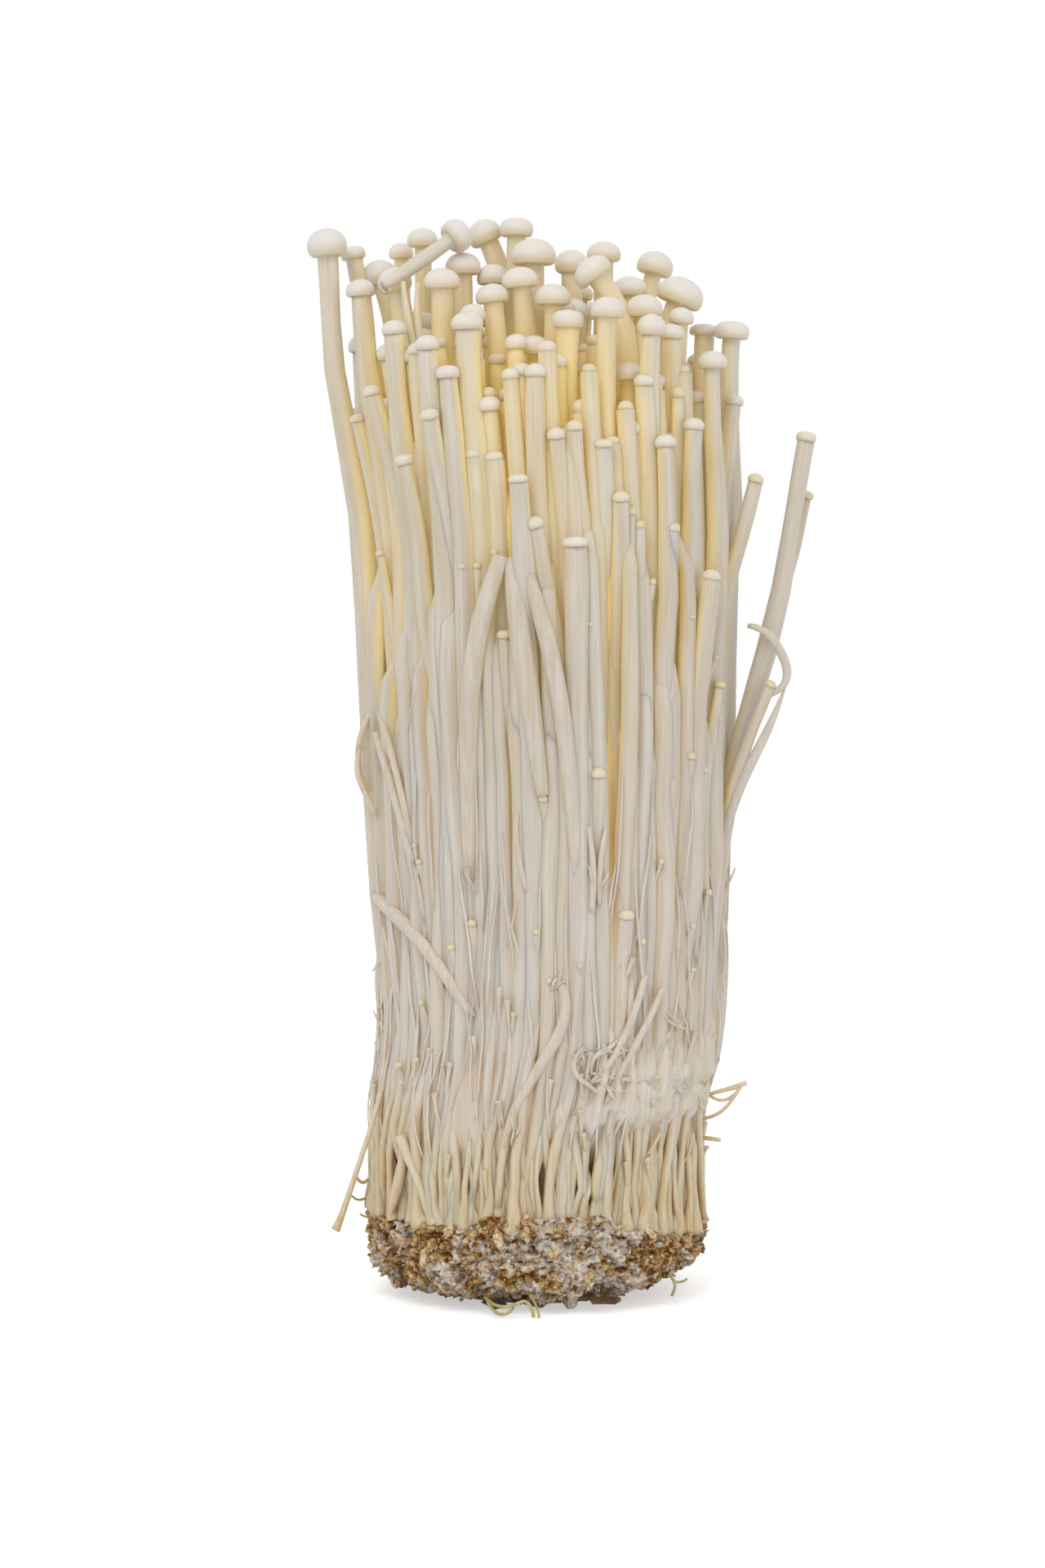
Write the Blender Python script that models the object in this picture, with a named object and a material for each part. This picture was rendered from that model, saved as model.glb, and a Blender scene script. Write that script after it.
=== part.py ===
"""An enoki mushroom bunch, as grown in a bottle: slender mushrooms on a block of bran and sawdust.

Three solids, in metres, +Z up, with the origin at the middle of the flat spot that the block stands on:
  substrate_block   the crumbly block that the bunch grows from
  mushroom_cluster  every mushroom of the bunch, grown together into one body round a core
  broken_mushroom   a mushroom that broke off, lying across the caps
"""

import math
import random
from collections import namedtuple

import bmesh
import bpy
from mathutils import Matrix, Vector, noise

MM = 0.001

# Driving dimensions of the bunch, in millimetres.
SEAT_Z = 13.0  # the top of the block, where the feet stand
SEAT_DROP = 2.4  # how much lower the top is at its right-hand edge
SEAT_DROP_X = 13.0  # where that slope starts
FOOT_RADIUS = 27.0  # outside of the packed stems at the block
CROWN_RADIUS = 31.2  # outside of the packed stems at the height where the caps begin
CROWN_Z = 150.0
FILL_POWER = 0.95  # how evenly the packed stems widen from foot to crown
BULGE = 2.5  # how far the bunch leans over to the right above its neck
BULGE_LOW_Z = 26.0
BULGE_HIGH_Z = 44.0
FOOT_GAP = 0.7  # clear height between a foot and the block
ROOT_RADIUS = 19.5  # the root disc that sits in the block's hole
ROOT_FLOOR_Z = 9.0
ROOT_GAP = 0.4

# Shape of one mushroom.
STEM_SIDES = 5
SLENDER = 2.75  # stems thinner than this leave the core part of the way up
SLENDER_LENGTH = 52.0
SLENDER_ROOT = 5.5  # how far inside the packed stems they leave it
SLENDER_CLEAR = 12.0  # the least height above the block at which they leave it
FOOT_INSET = 1.7  # the middle of an outer foot from the outside of the packed stems
STEM_SHARES = (0.0, 0.25, 0.68)  # where a long stem has its rings, as shares of its rise
OUTER_DEPTH = 5.5  # mushrooms nearer to the outside than this show their whole stem
INNER_START_Z = 110.0  # inner stems leave the core here
CAP = ((-0.30, 0.93), (-0.10, 1.03), (0.17, 0.84), (0.33, 0.38))  # rings, as shares of the cap's width
SMALL_CAP = ((-0.26, 0.98), (0.06, 1.0), (0.33, 0.4))
NOD_LENGTH = 13.0  # the top of a stem that bends where the cap nods

# Shape of the core that the outer stems stand out of.
CORE_SIDES = 24
CORE_INSET = 2.6  # how far the outer stems stand out beyond the core
CORE_TOP_Z = 121.0

# Placing of the mushrooms that aren't placed one by one.
SEED = 7
INNER_COUNT = 74
INNER_RADIUS = 25.5
INNER_SPACING = 3.9
BACK_COUNT = 33
SWAY = 0.45

# Shape of the block.
BLOCK_SIDES = 72
BLOCK_RADIUS = 27.3
REST_RADIUS = 14.5
CRUMB_COUNT = 34
RELIEF = 1.3
LIP_HEIGHT = 2.4  # the front edge of the block stands up in the middle
LIP_HALF_WIDTH = 12.0
FRONT_SWELL = 1.0  # the block reaches further out in front
UNDERSIDE_LIFT = 1.6  # the block is cut away under its right-hand side

# The broken-off mushroom.
BROKEN_END = (-23.8, -12.2, 159.6)
BROKEN_CAP = (-12.3, -7.3, 167.6)
BROKEN_CAP_WIDTH = 4.6

Sprout = namedtuple("Sprout", "x y z cap stem foot_x nod via", defaults=(None, 0.0, ()))

# The mushrooms whose caps make the crown, from left to right. Places are the middle of the cap.
CROWN = (
    Sprout(-33.1, -5, 166.8, 6.0, 3.2, via=((-24.2, -4, 60), (-26.6, -4, 90), (-27.0, -4, 112),
                                            (-28.4, -4.4, 128), (-31.5, -5, 145))),
    Sprout(-29.2, 0, 165.8, 3.8, 2.6, foot_x=-23.5),
    Sprout(-27.7, -8, 159.6, 4.5, 3.3, foot_x=-19.5),
    Sprout(-25.2, 1, 162.6, 5.2, 3.0, nod=-2.5),
    Sprout(-22.4, -7.5, 160.8, 5.2, 3.2, nod=-1.6),
    Sprout(-18.2, 3, 168.4, 5.0, 3.0),
    Sprout(-21.8, 9, 166.8, 4.2, 2.8),
    Sprout(-14.8, -14, 160.6, 5.3, 3.2),
    Sprout(-11.6, -5, 163.6, 5.8, 3.0),
    Sprout(-6.9, -4, 162.0, 5.4, 3.1),
    Sprout(-7.0, -14, 158.3, 4.9, 3.0, nod=-0.8),
    Sprout(-9.9, -18, 155.1, 4.3, 3.0),
    Sprout(-10.7, -24, 153.4, 4.5, 3.4),
    Sprout(-8.4, 4, 169.3, 5.2, 3.0, nod=-3.4),
    Sprout(-3.2, 1, 169.9, 5.4, 3.0, foot_x=-4.5),
    Sprout(-2.7, -12, 160.9, 5.4, 3.3, nod=-0.8),
    Sprout(-0.5, -5.5, 165.4, 6.8, 3.1),
    Sprout(2.5, -14, 158.1, 5.5, 3.0),
    Sprout(4.9, -20, 154.0, 5.1, 3.5, foot_x=0.5),
    Sprout(5.6, 2, 164.4, 5.0, 3.0),
    Sprout(8.5, -13, 162.1, 5.8, 3.3, foot_x=14.0, nod=-5.6),
    Sprout(10.9, 8, 166.6, 5.2, 3.0),
    Sprout(10.9, -22, 155.6, 5.3, 3.1, foot_x=6.0),
    Sprout(14.8, -3, 160.2, 5.3, 3.0),
    Sprout(16.8, -12, 156.5, 5.8, 3.0),
    Sprout(17.7, -21, 152.9, 4.4, 3.0, foot_x=11.5),
    Sprout(19.3, 8, 164.7, 6.2, 3.0, nod=1.6),
    Sprout(21.0, -15, 152.4, 3.7, 2.7),
    Sprout(22.9, -4, 159.3, 7.2, 3.4, nod=2.6),
    Sprout(22.7, -10.5, 155.1, 4.2, 2.7),
    Sprout(26.9, 1, 153.7, 4.4, 2.9),
    Sprout(31.1, -2, 153.4, 5.1, 3.0),
    Sprout(27.5, -12, 148.1, 4.6, 3.0),
    Sprout(33.1, -6, 142.2, 2.9, 2.7),
    Sprout(42.8, -4, 136.5, 2.9, 2.6, via=((25.8, -5, 38), (27.8, -5, 56), (29.2, -5, 72), (31.2, -5, 84),
                                           (34.2, -4.8, 93.6), (38.5, -4.4, 113))),
)

# The mushrooms that show in front, below the crown.
FRONT = (
    Sprout(-16.8, -24.0, 150.1, 3.8, 3.1),
    Sprout(-22.1, -17.5, 152.8, 3.8, 3.3),
    Sprout(-13.7, -25.5, 145.6, 3.6, 3.0),
    Sprout(-25.7, -16.0, 143.2, 2.7, 2.5, foot_x=-17.5),
    Sprout(-28.3, -8.5, 139.2, 2.3, 2.0),
    Sprout(-16.6, -26.5, 139.1, 2.8, 2.4),
    Sprout(-20.9, -23.0, 132.3, 2.8, 2.4),
    Sprout(-3.2, -21.5, 150.4, 3.8, 3.0),
    Sprout(-0.2, -27.2, 145.7, 3.5, 3.2, foot_x=-5.0),
    Sprout(-2.9, -29.4, 129.2, 3.1, 3.2),
    Sprout(-0.5, -29.0, 122.5, 2.9, 2.4, foot_x=4.5),
    Sprout(2.9, -27.8, 136.1, 2.9, 2.4),
    Sprout(5.7, -27.2, 137.3, 2.6, 2.3),
    Sprout(5.8, -28.8, 119.6, 3.7, 3.2),
    Sprout(10.2, -26.6, 134.7, 2.8, 2.4),
    Sprout(12.9, -26.3, 126.5, 2.7, 2.4),
    Sprout(19.8, -22.8, 135.1, 3.3, 2.8),
    Sprout(24.4, -18.4, 137.9, 3.0, 2.5),
    Sprout(21.0, -23.0, 121.9, 2.3, 2.2, foot_x=15.0),
    Sprout(27.2, -17.6, 114.5, 2.8, 2.9, foot_x=17.5),
    Sprout(34.6, -8.0, 129.8, 2.4, 2.1, via=((26.2, -7.0, 84), (28.6, -7.2, 106), (32.2, -7.8, 120))),
    Sprout(37.0, -8.0, 97.4, 1.9, 1.9, via=((26.0, -7, 42), (27.6, -7.5, 58), (29.2, -8, 70), (30.8, -8, 79),
                                            (33.4, -8, 88))),
    Sprout(43.4, 2.0, 127.4, 2.1, 1.6, via=((27.4, 3, 56), (28.8, 3, 72), (31.8, 2.8, 86), (40.6, 2.2, 115))),
    Sprout(9.5, -28.0, 84.2, 2.4, 2.1),
    Sprout(13.8, -25.8, 62.3, 2.4, 2.1),
)


def clamped(value):
    return max(0.0, min(1.0, value))


def smooth(value):
    held = clamped(value)
    return held * held * (3 - 2 * held)


def packed_radius(z):
    """Outside radius of the packed stems at a height, in millimetres."""
    rise = clamped((z - SEAT_Z) / (CROWN_Z - SEAT_Z))
    return FOOT_RADIUS + (CROWN_RADIUS - FOOT_RADIUS) * rise**FILL_POWER


def bulge(z):
    """How far to the right the middle of the packed stems is at a height."""
    rise = smooth((z - BULGE_LOW_Z) / (BULGE_HIGH_Z - BULGE_LOW_Z))
    return BULGE * (rise - 0.2 * smooth((z - 80) / 30) - 0.8 * smooth((z - 112) / 40))


def centred(place):
    """A place as it would be if the bunch stood straight."""
    return Vector((place[0] - bulge(place[2]), place[1], place[2]))


def seat_height(x):
    """Top of the block: level, and lower towards its right-hand edge."""
    return SEAT_Z - SEAT_DROP * clamped((x - SEAT_DROP_X) / 10.0)


def foot_of(sprout):
    """Where a mushroom starts: on the block, drawn in below its cap, or inside the core if it is slender."""
    first = centred(sprout.via[0] if sprout.via else (sprout.x - sprout.nod, sprout.y, sprout.z))
    slender = sprout.stem < SLENDER and not sprout.via
    slender_z = max(sprout.z - SLENDER_LENGTH, SEAT_Z + SLENDER_CLEAR)
    most = packed_radius(slender_z) - SLENDER_ROOT if slender else FOOT_RADIUS - FOOT_INSET
    share = most / (packed_radius(first[2]) - FOOT_INSET)
    x = first[0] * share if sprout.foot_x is None else sprout.foot_x
    y = first[1] * share
    reach = math.hypot(x, y)
    if reach > most:
        x, y = x * most / reach, y * most / reach
    return Vector((x, y, slender_z if slender else seat_height(x) + FOOT_GAP))


def point_on(sprout, sway, share):
    """Centre of the stem at a share of its rise from foot to cap."""
    foot = foot_of(sprout)
    tip = centred((sprout.x, sprout.y, sprout.z))
    z = foot.z + (tip.z - foot.z) * share
    marks = [foot, *(centred(mark) for mark in sprout.via), tip]
    if len(marks) > 2:
        low = max(i for i in range(len(marks) - 1) if marks[i].z <= z + 1e-6)
        part = (z - marks[low].z) / (marks[low + 1].z - marks[low].z)
        before = marks[max(low - 1, 0)]
        after = marks[min(low + 2, len(marks) - 1)]
        slope_low = (marks[low + 1] - before) / max(marks[low + 1].z - before.z, 1e-6)
        slope_high = (after - marks[low]) / max(after.z - marks[low].z, 1e-6)
        span = marks[low + 1].z - marks[low].z
        h00 = 2 * part**3 - 3 * part**2 + 1
        h10 = part**3 - 2 * part**2 + part
        h01 = 3 * part**2 - 2 * part**3
        h11 = part**3 - part**2
        point = marks[low] * h00 + slope_low * h10 * span + marks[low + 1] * h01 + slope_high * h11 * span
        return Vector((point.x + bulge(z), point.y, z))
    lean = share**1.35
    bow = math.sin(math.pi * share)
    x = foot.x + (tip.x - sprout.nod - foot.x) * lean + sway[0] * bow
    y = foot.y + (tip.y - foot.y) * lean + sway[1] * bow
    most = packed_radius(z) - CORE_INSET + 0.28 * sprout.stem + 9.0 * clamped(share - 0.74)
    held = min(1.0, most / max(math.hypot(x, y), 0.1))
    nodding = clamped((z - (tip.z - NOD_LENGTH)) / NOD_LENGTH)
    return Vector((x * held + sprout.nod * nodding**2 + bulge(z), y * held, z))


def stem_girth(share):
    """Thickness along a stem: thin at the foot, full above the middle, a little less under the cap."""
    return 0.70 + 0.48 * smooth(share / 0.5) - 0.22 * clamped((share - 0.72) / 0.28)


def rings_of(sprout, sway, shares):
    """(centre, axis, radius) of each ring of a mushroom, from its foot to the crown of its cap."""
    tip = point_on(sprout, sway, 1.0)
    rise = tip.z - foot_of(sprout).z
    axis = (tip - point_on(sprout, sway, 1.0 - 2.5 / rise)).normalized()
    neck_share = 1.0 - 0.42 * sprout.cap / rise
    rings = []
    for share in [s for s in shares if s < neck_share - 0.02] + [neck_share]:
        centre = point_on(sprout, sway, share)
        ahead = point_on(sprout, sway, min(share + 0.03, 1.0))
        behind = point_on(sprout, sway, max(share - 0.03, 0.0))
        along = (ahead - behind).normalized() if share < neck_share else axis
        rings.append((centre, along, sprout.stem / 2 * stem_girth(share)))
    for drop, width in SMALL_CAP if sprout.cap < 3.0 else CAP:
        rings.append((tip + axis * sprout.cap * drop, axis, sprout.cap / 2 * width))
    return rings


def add_skin(rings, sides, turn=0.0):
    """A closed solid through rings: a circle extruded edge by edge along its route, its ends filled."""
    placed = []
    for centre, along, radius in rings:
        facing = along.to_track_quat("Z", "Y").to_matrix().to_4x4() @ Matrix.Rotation(turn, 4, "Z")
        placed.append(Matrix.Translation(centre * MM) @ facing @ Matrix.Scale(radius * MM, 4))
    mesh = bmesh.new()
    bmesh.ops.create_circle(mesh, cap_ends=False, radius=1.0, segments=sides, matrix=placed[0])
    end = mesh.edges[:]
    for before, after in zip(placed, placed[1:]):
        made = bmesh.ops.extrude_edge_only(mesh, edges=end)["geom"]
        end = [item for item in made if isinstance(item, bmesh.types.BMEdge)]
        step = after @ before.inverted()
        for corner in {corner for edge in end for corner in edge.verts}:
            corner.co = step @ corner.co
    bmesh.ops.holes_fill(mesh, edges=mesh.edges[:])
    bmesh.ops.recalc_face_normals(mesh, faces=mesh.faces[:])
    return mesh


def add_object(name, mesh, material=None):
    data = bpy.data.meshes.new(name)
    mesh.to_mesh(data)
    mesh.free()
    made = bpy.data.objects.new(name, data)
    bpy.context.scene.collection.objects.link(made)
    if material is not None:
        data.materials.append(material)
    return made


def finish(name, colour, roughness):
    material = bpy.data.materials.new(name)
    material.use_nodes = True
    shader = material.node_tree.nodes["Principled BSDF"]
    shader.inputs["Base Color"].default_value = (*colour, 1.0)
    shader.inputs["Roughness"].default_value = roughness
    shader.inputs["Metallic"].default_value = 0.0
    return material


def join_all(base, pieces):
    """One Boolean union of the pieces with the base. The pieces are removed afterwards."""
    group = bpy.data.collections.new(base.name + "_pieces")
    bpy.context.scene.collection.children.link(group)
    for piece in pieces:
        bpy.context.scene.collection.objects.unlink(piece)
        group.objects.link(piece)
    union = base.modifiers.new("grown_together", "BOOLEAN")
    union.operation = "UNION"
    union.operand_type = "COLLECTION"
    union.collection = group
    union.solver = "MANIFOLD"
    with bpy.context.temp_override(object=base, active_object=base):
        bpy.ops.object.modifier_apply(modifier=union.name)
    for piece in pieces:
        bpy.data.objects.remove(piece)
    bpy.data.collections.remove(group)


def keep_largest_body(made):
    """Drops any scrap that the union left loose."""
    mesh = bmesh.new()
    mesh.from_mesh(made.data)
    left = set(mesh.verts)
    bodies = []
    while left:
        body, edge_of_body = set(), [left.pop()]
        while edge_of_body:
            corner = edge_of_body.pop()
            body.add(corner)
            for edge in corner.link_edges:
                other = edge.other_vert(corner)
                if other in left:
                    left.remove(other)
                    edge_of_body.append(other)
        bodies.append(body)
    bodies.sort(key=len)
    for body in bodies[:-1]:
        bmesh.ops.delete(mesh, geom=list(body), context="VERTS")
    mesh.to_mesh(made.data)
    mesh.free()


def back_row():
    """Mushrooms round the back of the bunch, of every height, as they show in front."""
    draw = random.Random(SEED)
    row = []
    for i in range(BACK_COUNT):
        angle = math.radians(188 * (i + 0.5) / BACK_COUNT - 4 + draw.uniform(-1.5, 1.5))
        z = draw.choice((88, 104, 118, 128, 136, 143, 148, 152)) + draw.uniform(-4, 4)
        cap = 1.9 + 2.6 * clamped((z - 95) / 55) + draw.uniform(-0.2, 0.4)
        radius = packed_radius(z) - 1.5 + draw.uniform(-0.4, 0.5)
        x = radius * math.cos(angle) + bulge(z)
        row.append(Sprout(x, radius * math.sin(angle), z, cap, min(cap * 0.85, 3.3)))
    return row


def inner_mushrooms(taken):
    """Mushrooms over the rest of the crown, on an even spiral that leaves out the places taken."""
    draw = random.Random(SEED + 1)
    made = []
    for i in range(INNER_COUNT):
        reach = INNER_RADIUS * math.sqrt((i + 0.5) / INNER_COUNT)
        angle = i * math.pi * (3 - math.sqrt(5))
        x = reach * math.cos(angle) + draw.uniform(-0.6, 0.6)
        y = reach * math.sin(angle) + draw.uniform(-0.6, 0.6)
        z = 161.5 - 0.0125 * (x + 6) ** 2 - 0.010 * y * y + draw.uniform(-5.0, 3.0)
        z -= 9.0 * clamped((-4.0 - y) / 8.0)
        cap = draw.uniform(3.8, 5.6)
        if all(math.hypot(x - other.x, y - other.y) > INNER_SPACING for other in taken):
            made.append(Sprout(x, y, z, cap, cap * 0.58))
    return made


def build_cluster(material):
    """The grown cluster: a core, the long stems round it and the caps of the crown."""
    draw = random.Random(SEED + 2)
    profile = [
        (ROOT_FLOOR_Z + ROOT_GAP, ROOT_RADIUS - ROOT_GAP),
        (SEAT_Z + 2.0, ROOT_RADIUS - ROOT_GAP),
        (27.0, packed_radius(27) - CORE_INSET - 1.4),
        (34.0, packed_radius(34) - CORE_INSET - 0.6),
        (42.0, packed_radius(42) - CORE_INSET + 0.1),
        (80.0, packed_radius(80) - CORE_INSET + 0.2),
        (CORE_TOP_Z - 12, packed_radius(CORE_TOP_Z) - CORE_INSET - 0.6),
        (CORE_TOP_Z - 2, packed_radius(CORE_TOP_Z) - CORE_INSET - 5.0),
        (CORE_TOP_Z, 14.0),
    ]
    rings = [(Vector((bulge(z), 0, z)), Vector((0, 0, 1)), radius) for z, radius in profile]
    core = add_object("mushroom_cluster", add_skin(rings, CORE_SIDES), material)
    placed = list(CROWN) + list(FRONT)
    back = back_row()
    inner = inner_mushrooms(placed + back)
    pieces = []
    for sprout in placed + back + inner:
        sway = (draw.uniform(-SWAY, SWAY), draw.uniform(-SWAY, SWAY))
        reach = centred((sprout.x, sprout.y, sprout.z)).xy.length
        outside = reach > packed_radius(sprout.z) - OUTER_DEPTH or sprout.via
        foot_z = foot_of(sprout).z
        shares = STEM_SHARES if outside else (max(INNER_START_Z - foot_z, 0.0) / (sprout.z - foot_z),)
        if sprout.via:
            shares = tuple((mark[2] - foot_z) / (sprout.z - foot_z) for mark in sprout.via)
            shares = (0.0, 0.14, *shares)
        turn = draw.uniform(0, math.tau)
        pieces.append(add_object("stem", add_skin(rings_of(sprout, sway, shares), STEM_SIDES, turn)))
    join_all(core, pieces)
    keep_largest_body(core)


def block_outline(angle):
    """(radius, height) round the block's side, from the edge of its hole, over the top, to the flat spot."""
    x, y = math.cos(angle), math.sin(angle)
    hole = ROOT_RADIUS + 0.8
    top = seat_height(BLOCK_RADIUS * x) + 0.2 * math.sin(5 * angle)
    lip = LIP_HEIGHT * clamped((LIP_HALF_WIDTH - abs(BLOCK_RADIUS * x - 1.0)) / 3.0) if y < 0 else 0.0
    lift = UNDERSIDE_LIFT * clamped(x) ** 2
    side = BLOCK_RADIUS + FRONT_SWELL * clamped(-1.4 * y)
    return (
        (hole, ROOT_FLOOR_Z),
        (hole, top - 0.2),
        (24.0, top),
        (side - 1.0, top),
        (side - 0.6, top + 0.2 + lip),
        (side - 0.1, top - 0.8 + 0.8 * lip),
        (side, top - 2.2 + 0.4 * lip),
        (side + 0.1, top - 4.0),
        (side - 0.4, 6.0 + 0.6 * lift),
        (side - 1.6, 3.9 + 0.9 * lift),
        (side - 3.6, 2.4 + lift),
        (side - 6.4, 1.4 + 0.9 * lift),
        (side - 9.4, 0.8 + 0.5 * lift),
        (REST_RADIUS + 0.6, 0.25),
        (REST_RADIUS, 0.0),
    )


def build_block(material):
    """The block: a squat plug with a hole for the roots, a crumbly side and crumbs grown onto it."""
    draw = random.Random(SEED + 3)
    steps = [math.tau * i / BLOCK_SIDES for i in range(BLOCK_SIDES)]
    outlines = [block_outline(angle) for angle in steps]
    mesh = bmesh.new()
    bmesh.ops.create_circle(mesh, cap_ends=False, radius=1.0, segments=BLOCK_SIDES)
    end = mesh.edges[:]
    mesh.verts.ensure_lookup_table()
    ring = sorted(mesh.verts, key=lambda corner: math.atan2(corner.co.y, corner.co.x) % math.tau)
    rows = [ring]
    for _ in outlines[0][1:]:
        made = bmesh.ops.extrude_edge_only(mesh, edges=end)["geom"]
        end = [item for item in made if isinstance(item, bmesh.types.BMEdge)]
        fresh = {corner for edge in end for corner in edge.verts}
        rows.append(sorted(fresh, key=lambda corner: math.atan2(corner.co.y, corner.co.x) % math.tau))
    last = len(rows) - 1
    for level, row in enumerate(rows):
        for side, corner in enumerate(row):
            radius, z = outlines[side][level]
            angle = steps[side]
            crumbly = RELIEF if 5 <= level <= last - 2 else (0.35 * RELIEF if level == 4 else 0.0)
            spot = Vector((radius * math.cos(angle), radius * math.sin(angle), z))
            lumps = noise.noise(spot / 3.1) + 0.6 * noise.noise(spot / 6.5 + Vector((9, 0, 0)))
            bump = crumbly * (lumps - 0.1)
            slope = clamped((8.0 - z) / 6.0)
            out = radius + bump * (1 - 0.6 * slope)
            corner.co = Vector((out * math.cos(angle), out * math.sin(angle), z - 0.6 * bump * slope)) * MM
    bmesh.ops.holes_fill(mesh, edges=mesh.edges[:])
    bmesh.ops.recalc_face_normals(mesh, faces=mesh.faces[:])
    block = add_object("substrate_block", mesh, material)
    crumbs = []
    for i in range(CRUMB_COUNT):
        angle = math.tau * (i + draw.uniform(-0.35, 0.35)) / CRUMB_COUNT
        size = draw.uniform(1.5, 2.9)
        z = draw.choice((4.6, 6.5, 8.5, 10.2)) + draw.uniform(-0.6, 0.6) + 2.0 * clamped(math.cos(angle)) ** 2
        z = min(z, seat_height(BLOCK_RADIUS * math.cos(angle)) - size)
        radius = BLOCK_RADIUS - 0.75 * size - 1.4 * clamped((8.0 - z) / 4.0)
        crumb = bmesh.new()
        bmesh.ops.create_icosphere(crumb, subdivisions=1, radius=size * MM)
        shape = Matrix.Diagonal((1.0, draw.uniform(0.7, 1.3), draw.uniform(0.55, 0.9), 1.0))
        turned = Matrix.Rotation(draw.uniform(0, math.tau), 4, (draw.random(), draw.random(), 1.0))
        place = Matrix.Translation(Vector((radius * math.cos(angle), radius * math.sin(angle), z)) * MM)
        bmesh.ops.transform(crumb, matrix=place @ turned @ shape, verts=crumb.verts)
        crumbs.append(add_object("crumb", crumb))
    join_all(block, crumbs)
    keep_largest_body(block)
    return block


def build_broken(material):
    """The broken-off mushroom: a cap and a short stem with a blunt end, lying across the caps."""
    end, cap = Vector(BROKEN_END), Vector(BROKEN_CAP)
    axis = (cap - end).normalized()
    rings = [(end, axis, 1.15), (end + axis * 0.5, axis, 1.3), (cap - axis * 2.2, axis, 1.15)]
    rim = BROKEN_CAP_WIDTH / 2
    for drop, width in CAP:
        rings.append((cap + axis * BROKEN_CAP_WIDTH * drop, axis, rim * width))
    return add_object("broken_mushroom", add_skin(rings, 10), material)


def main():
    for old in list(bpy.data.objects):
        bpy.data.objects.remove(old)
    cream = finish("mushroom_flesh", (0.83, 0.76, 0.62), 0.5)
    bran = finish("bran_substrate", (0.42, 0.27, 0.13), 0.9)
    build_block(bran)
    build_cluster(cream)
    build_broken(cream)


main()
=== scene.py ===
"""Finish model of an enoki mushroom bunch on its block of bran substrate.

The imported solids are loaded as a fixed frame. Every solid is replaced by finer pieces of the same
form: the mushrooms one by one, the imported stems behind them, the fungus film and torn fibres above
the feet, and the crumbly block with its crumbs, bran flakes and root threads.
"""

from __future__ import annotations

import logging
import math
import random
from dataclasses import dataclass, field
from enum import Enum
from typing import Iterable, Iterator, Sequence

import bpy
import numpy as np
from mathutils import Matrix, Vector, noise


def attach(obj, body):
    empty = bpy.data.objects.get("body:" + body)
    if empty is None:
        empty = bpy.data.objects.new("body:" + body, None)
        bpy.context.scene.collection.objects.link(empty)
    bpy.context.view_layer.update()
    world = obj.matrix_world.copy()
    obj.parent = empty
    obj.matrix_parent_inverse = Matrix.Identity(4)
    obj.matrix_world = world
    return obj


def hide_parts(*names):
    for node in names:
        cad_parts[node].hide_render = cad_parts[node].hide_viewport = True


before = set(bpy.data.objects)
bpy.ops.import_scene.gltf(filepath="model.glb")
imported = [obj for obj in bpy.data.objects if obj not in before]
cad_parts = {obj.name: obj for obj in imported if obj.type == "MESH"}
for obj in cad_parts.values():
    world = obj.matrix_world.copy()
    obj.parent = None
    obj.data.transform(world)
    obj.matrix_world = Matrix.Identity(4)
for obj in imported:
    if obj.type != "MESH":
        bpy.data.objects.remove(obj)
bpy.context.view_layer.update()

LOG = logging.getLogger("enoki_bunch")
MM = 0.001
SEED = 7

Point = tuple[float, float, float]
Mark = tuple[float, float, float, float]
Colour = tuple[float, float, float]
Socket = bpy.types.NodeSocket
Model = bpy.types.Object
Material = bpy.types.Material
Mesh = bpy.types.Mesh


class Slot(Enum):
    """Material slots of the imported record."""

    SUBSTRATE = "substrate"
    MUSHROOM = "mushroom"


class Cap(Enum):
    """Kinds of mushroom head."""

    DOME = "dome"
    BUTTON = "button"
    FLAT = "flat"
    BALL = "ball"
    BARE = "bare"


def clamped(value: float) -> float:
    """Hold a value between 0 and 1."""
    return max(0.0, min(1.0, value))


def smooth(value: float) -> float:
    """Ease a value from 0 to 1 with a level start and end."""
    held = clamped(value)
    return held * held * (3.0 - 2.0 * held)


def linear(red: int, green: int, blue: int) -> Colour:
    """Turn a display colour of 0 to 255 into the linear colour that a shader takes."""
    return tuple(((c / 255 + 0.055) / 1.055) ** 2.4 if c > 10 else c / 3294.6 for c in (red, green, blue))


# ---- Small helpers round Blender's operators ----


def deselect() -> None:
    """Leave edit mode and deselect every object."""
    if bpy.context.object is not None and bpy.context.object.mode != "OBJECT":
        bpy.ops.object.mode_set(mode="OBJECT")
    bpy.ops.object.select_all(action="DESELECT")


def pick(objects: Sequence[Model]) -> None:
    """Select some objects and make the first one active.

    Args:
        objects: The objects to select.
    """
    deselect()
    for made in objects:
        made.select_set(True)
    bpy.context.view_layer.objects.active = objects[0]


def joined(objects: Sequence[Model], name: str) -> Model:
    """Join objects into one piece.

    Args:
        objects: The objects to join.
        name: The name of the piece.

    Returns:
        The joined piece.
    """
    pick(objects)
    if len(objects) > 1:
        bpy.ops.object.join()
    piece = bpy.context.object
    piece.name = name
    piece.data.name = name
    return piece


def linked(name: str, mesh: Mesh) -> Model:
    """Put a mesh into the scene.

    Args:
        name: The object's name.
        mesh: Its mesh.

    Returns:
        The new object.
    """
    made = bpy.data.objects.new(name, mesh)
    bpy.context.scene.collection.objects.link(made)
    return made


def lifted(made: Model) -> Mesh:
    """Take the mesh out of a model that is only there to be copied.

    Args:
        made: The model, which is removed.

    Returns:
        Its mesh.
    """
    mesh = made.data.copy()
    bpy.data.objects.remove(made)
    return mesh


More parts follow.
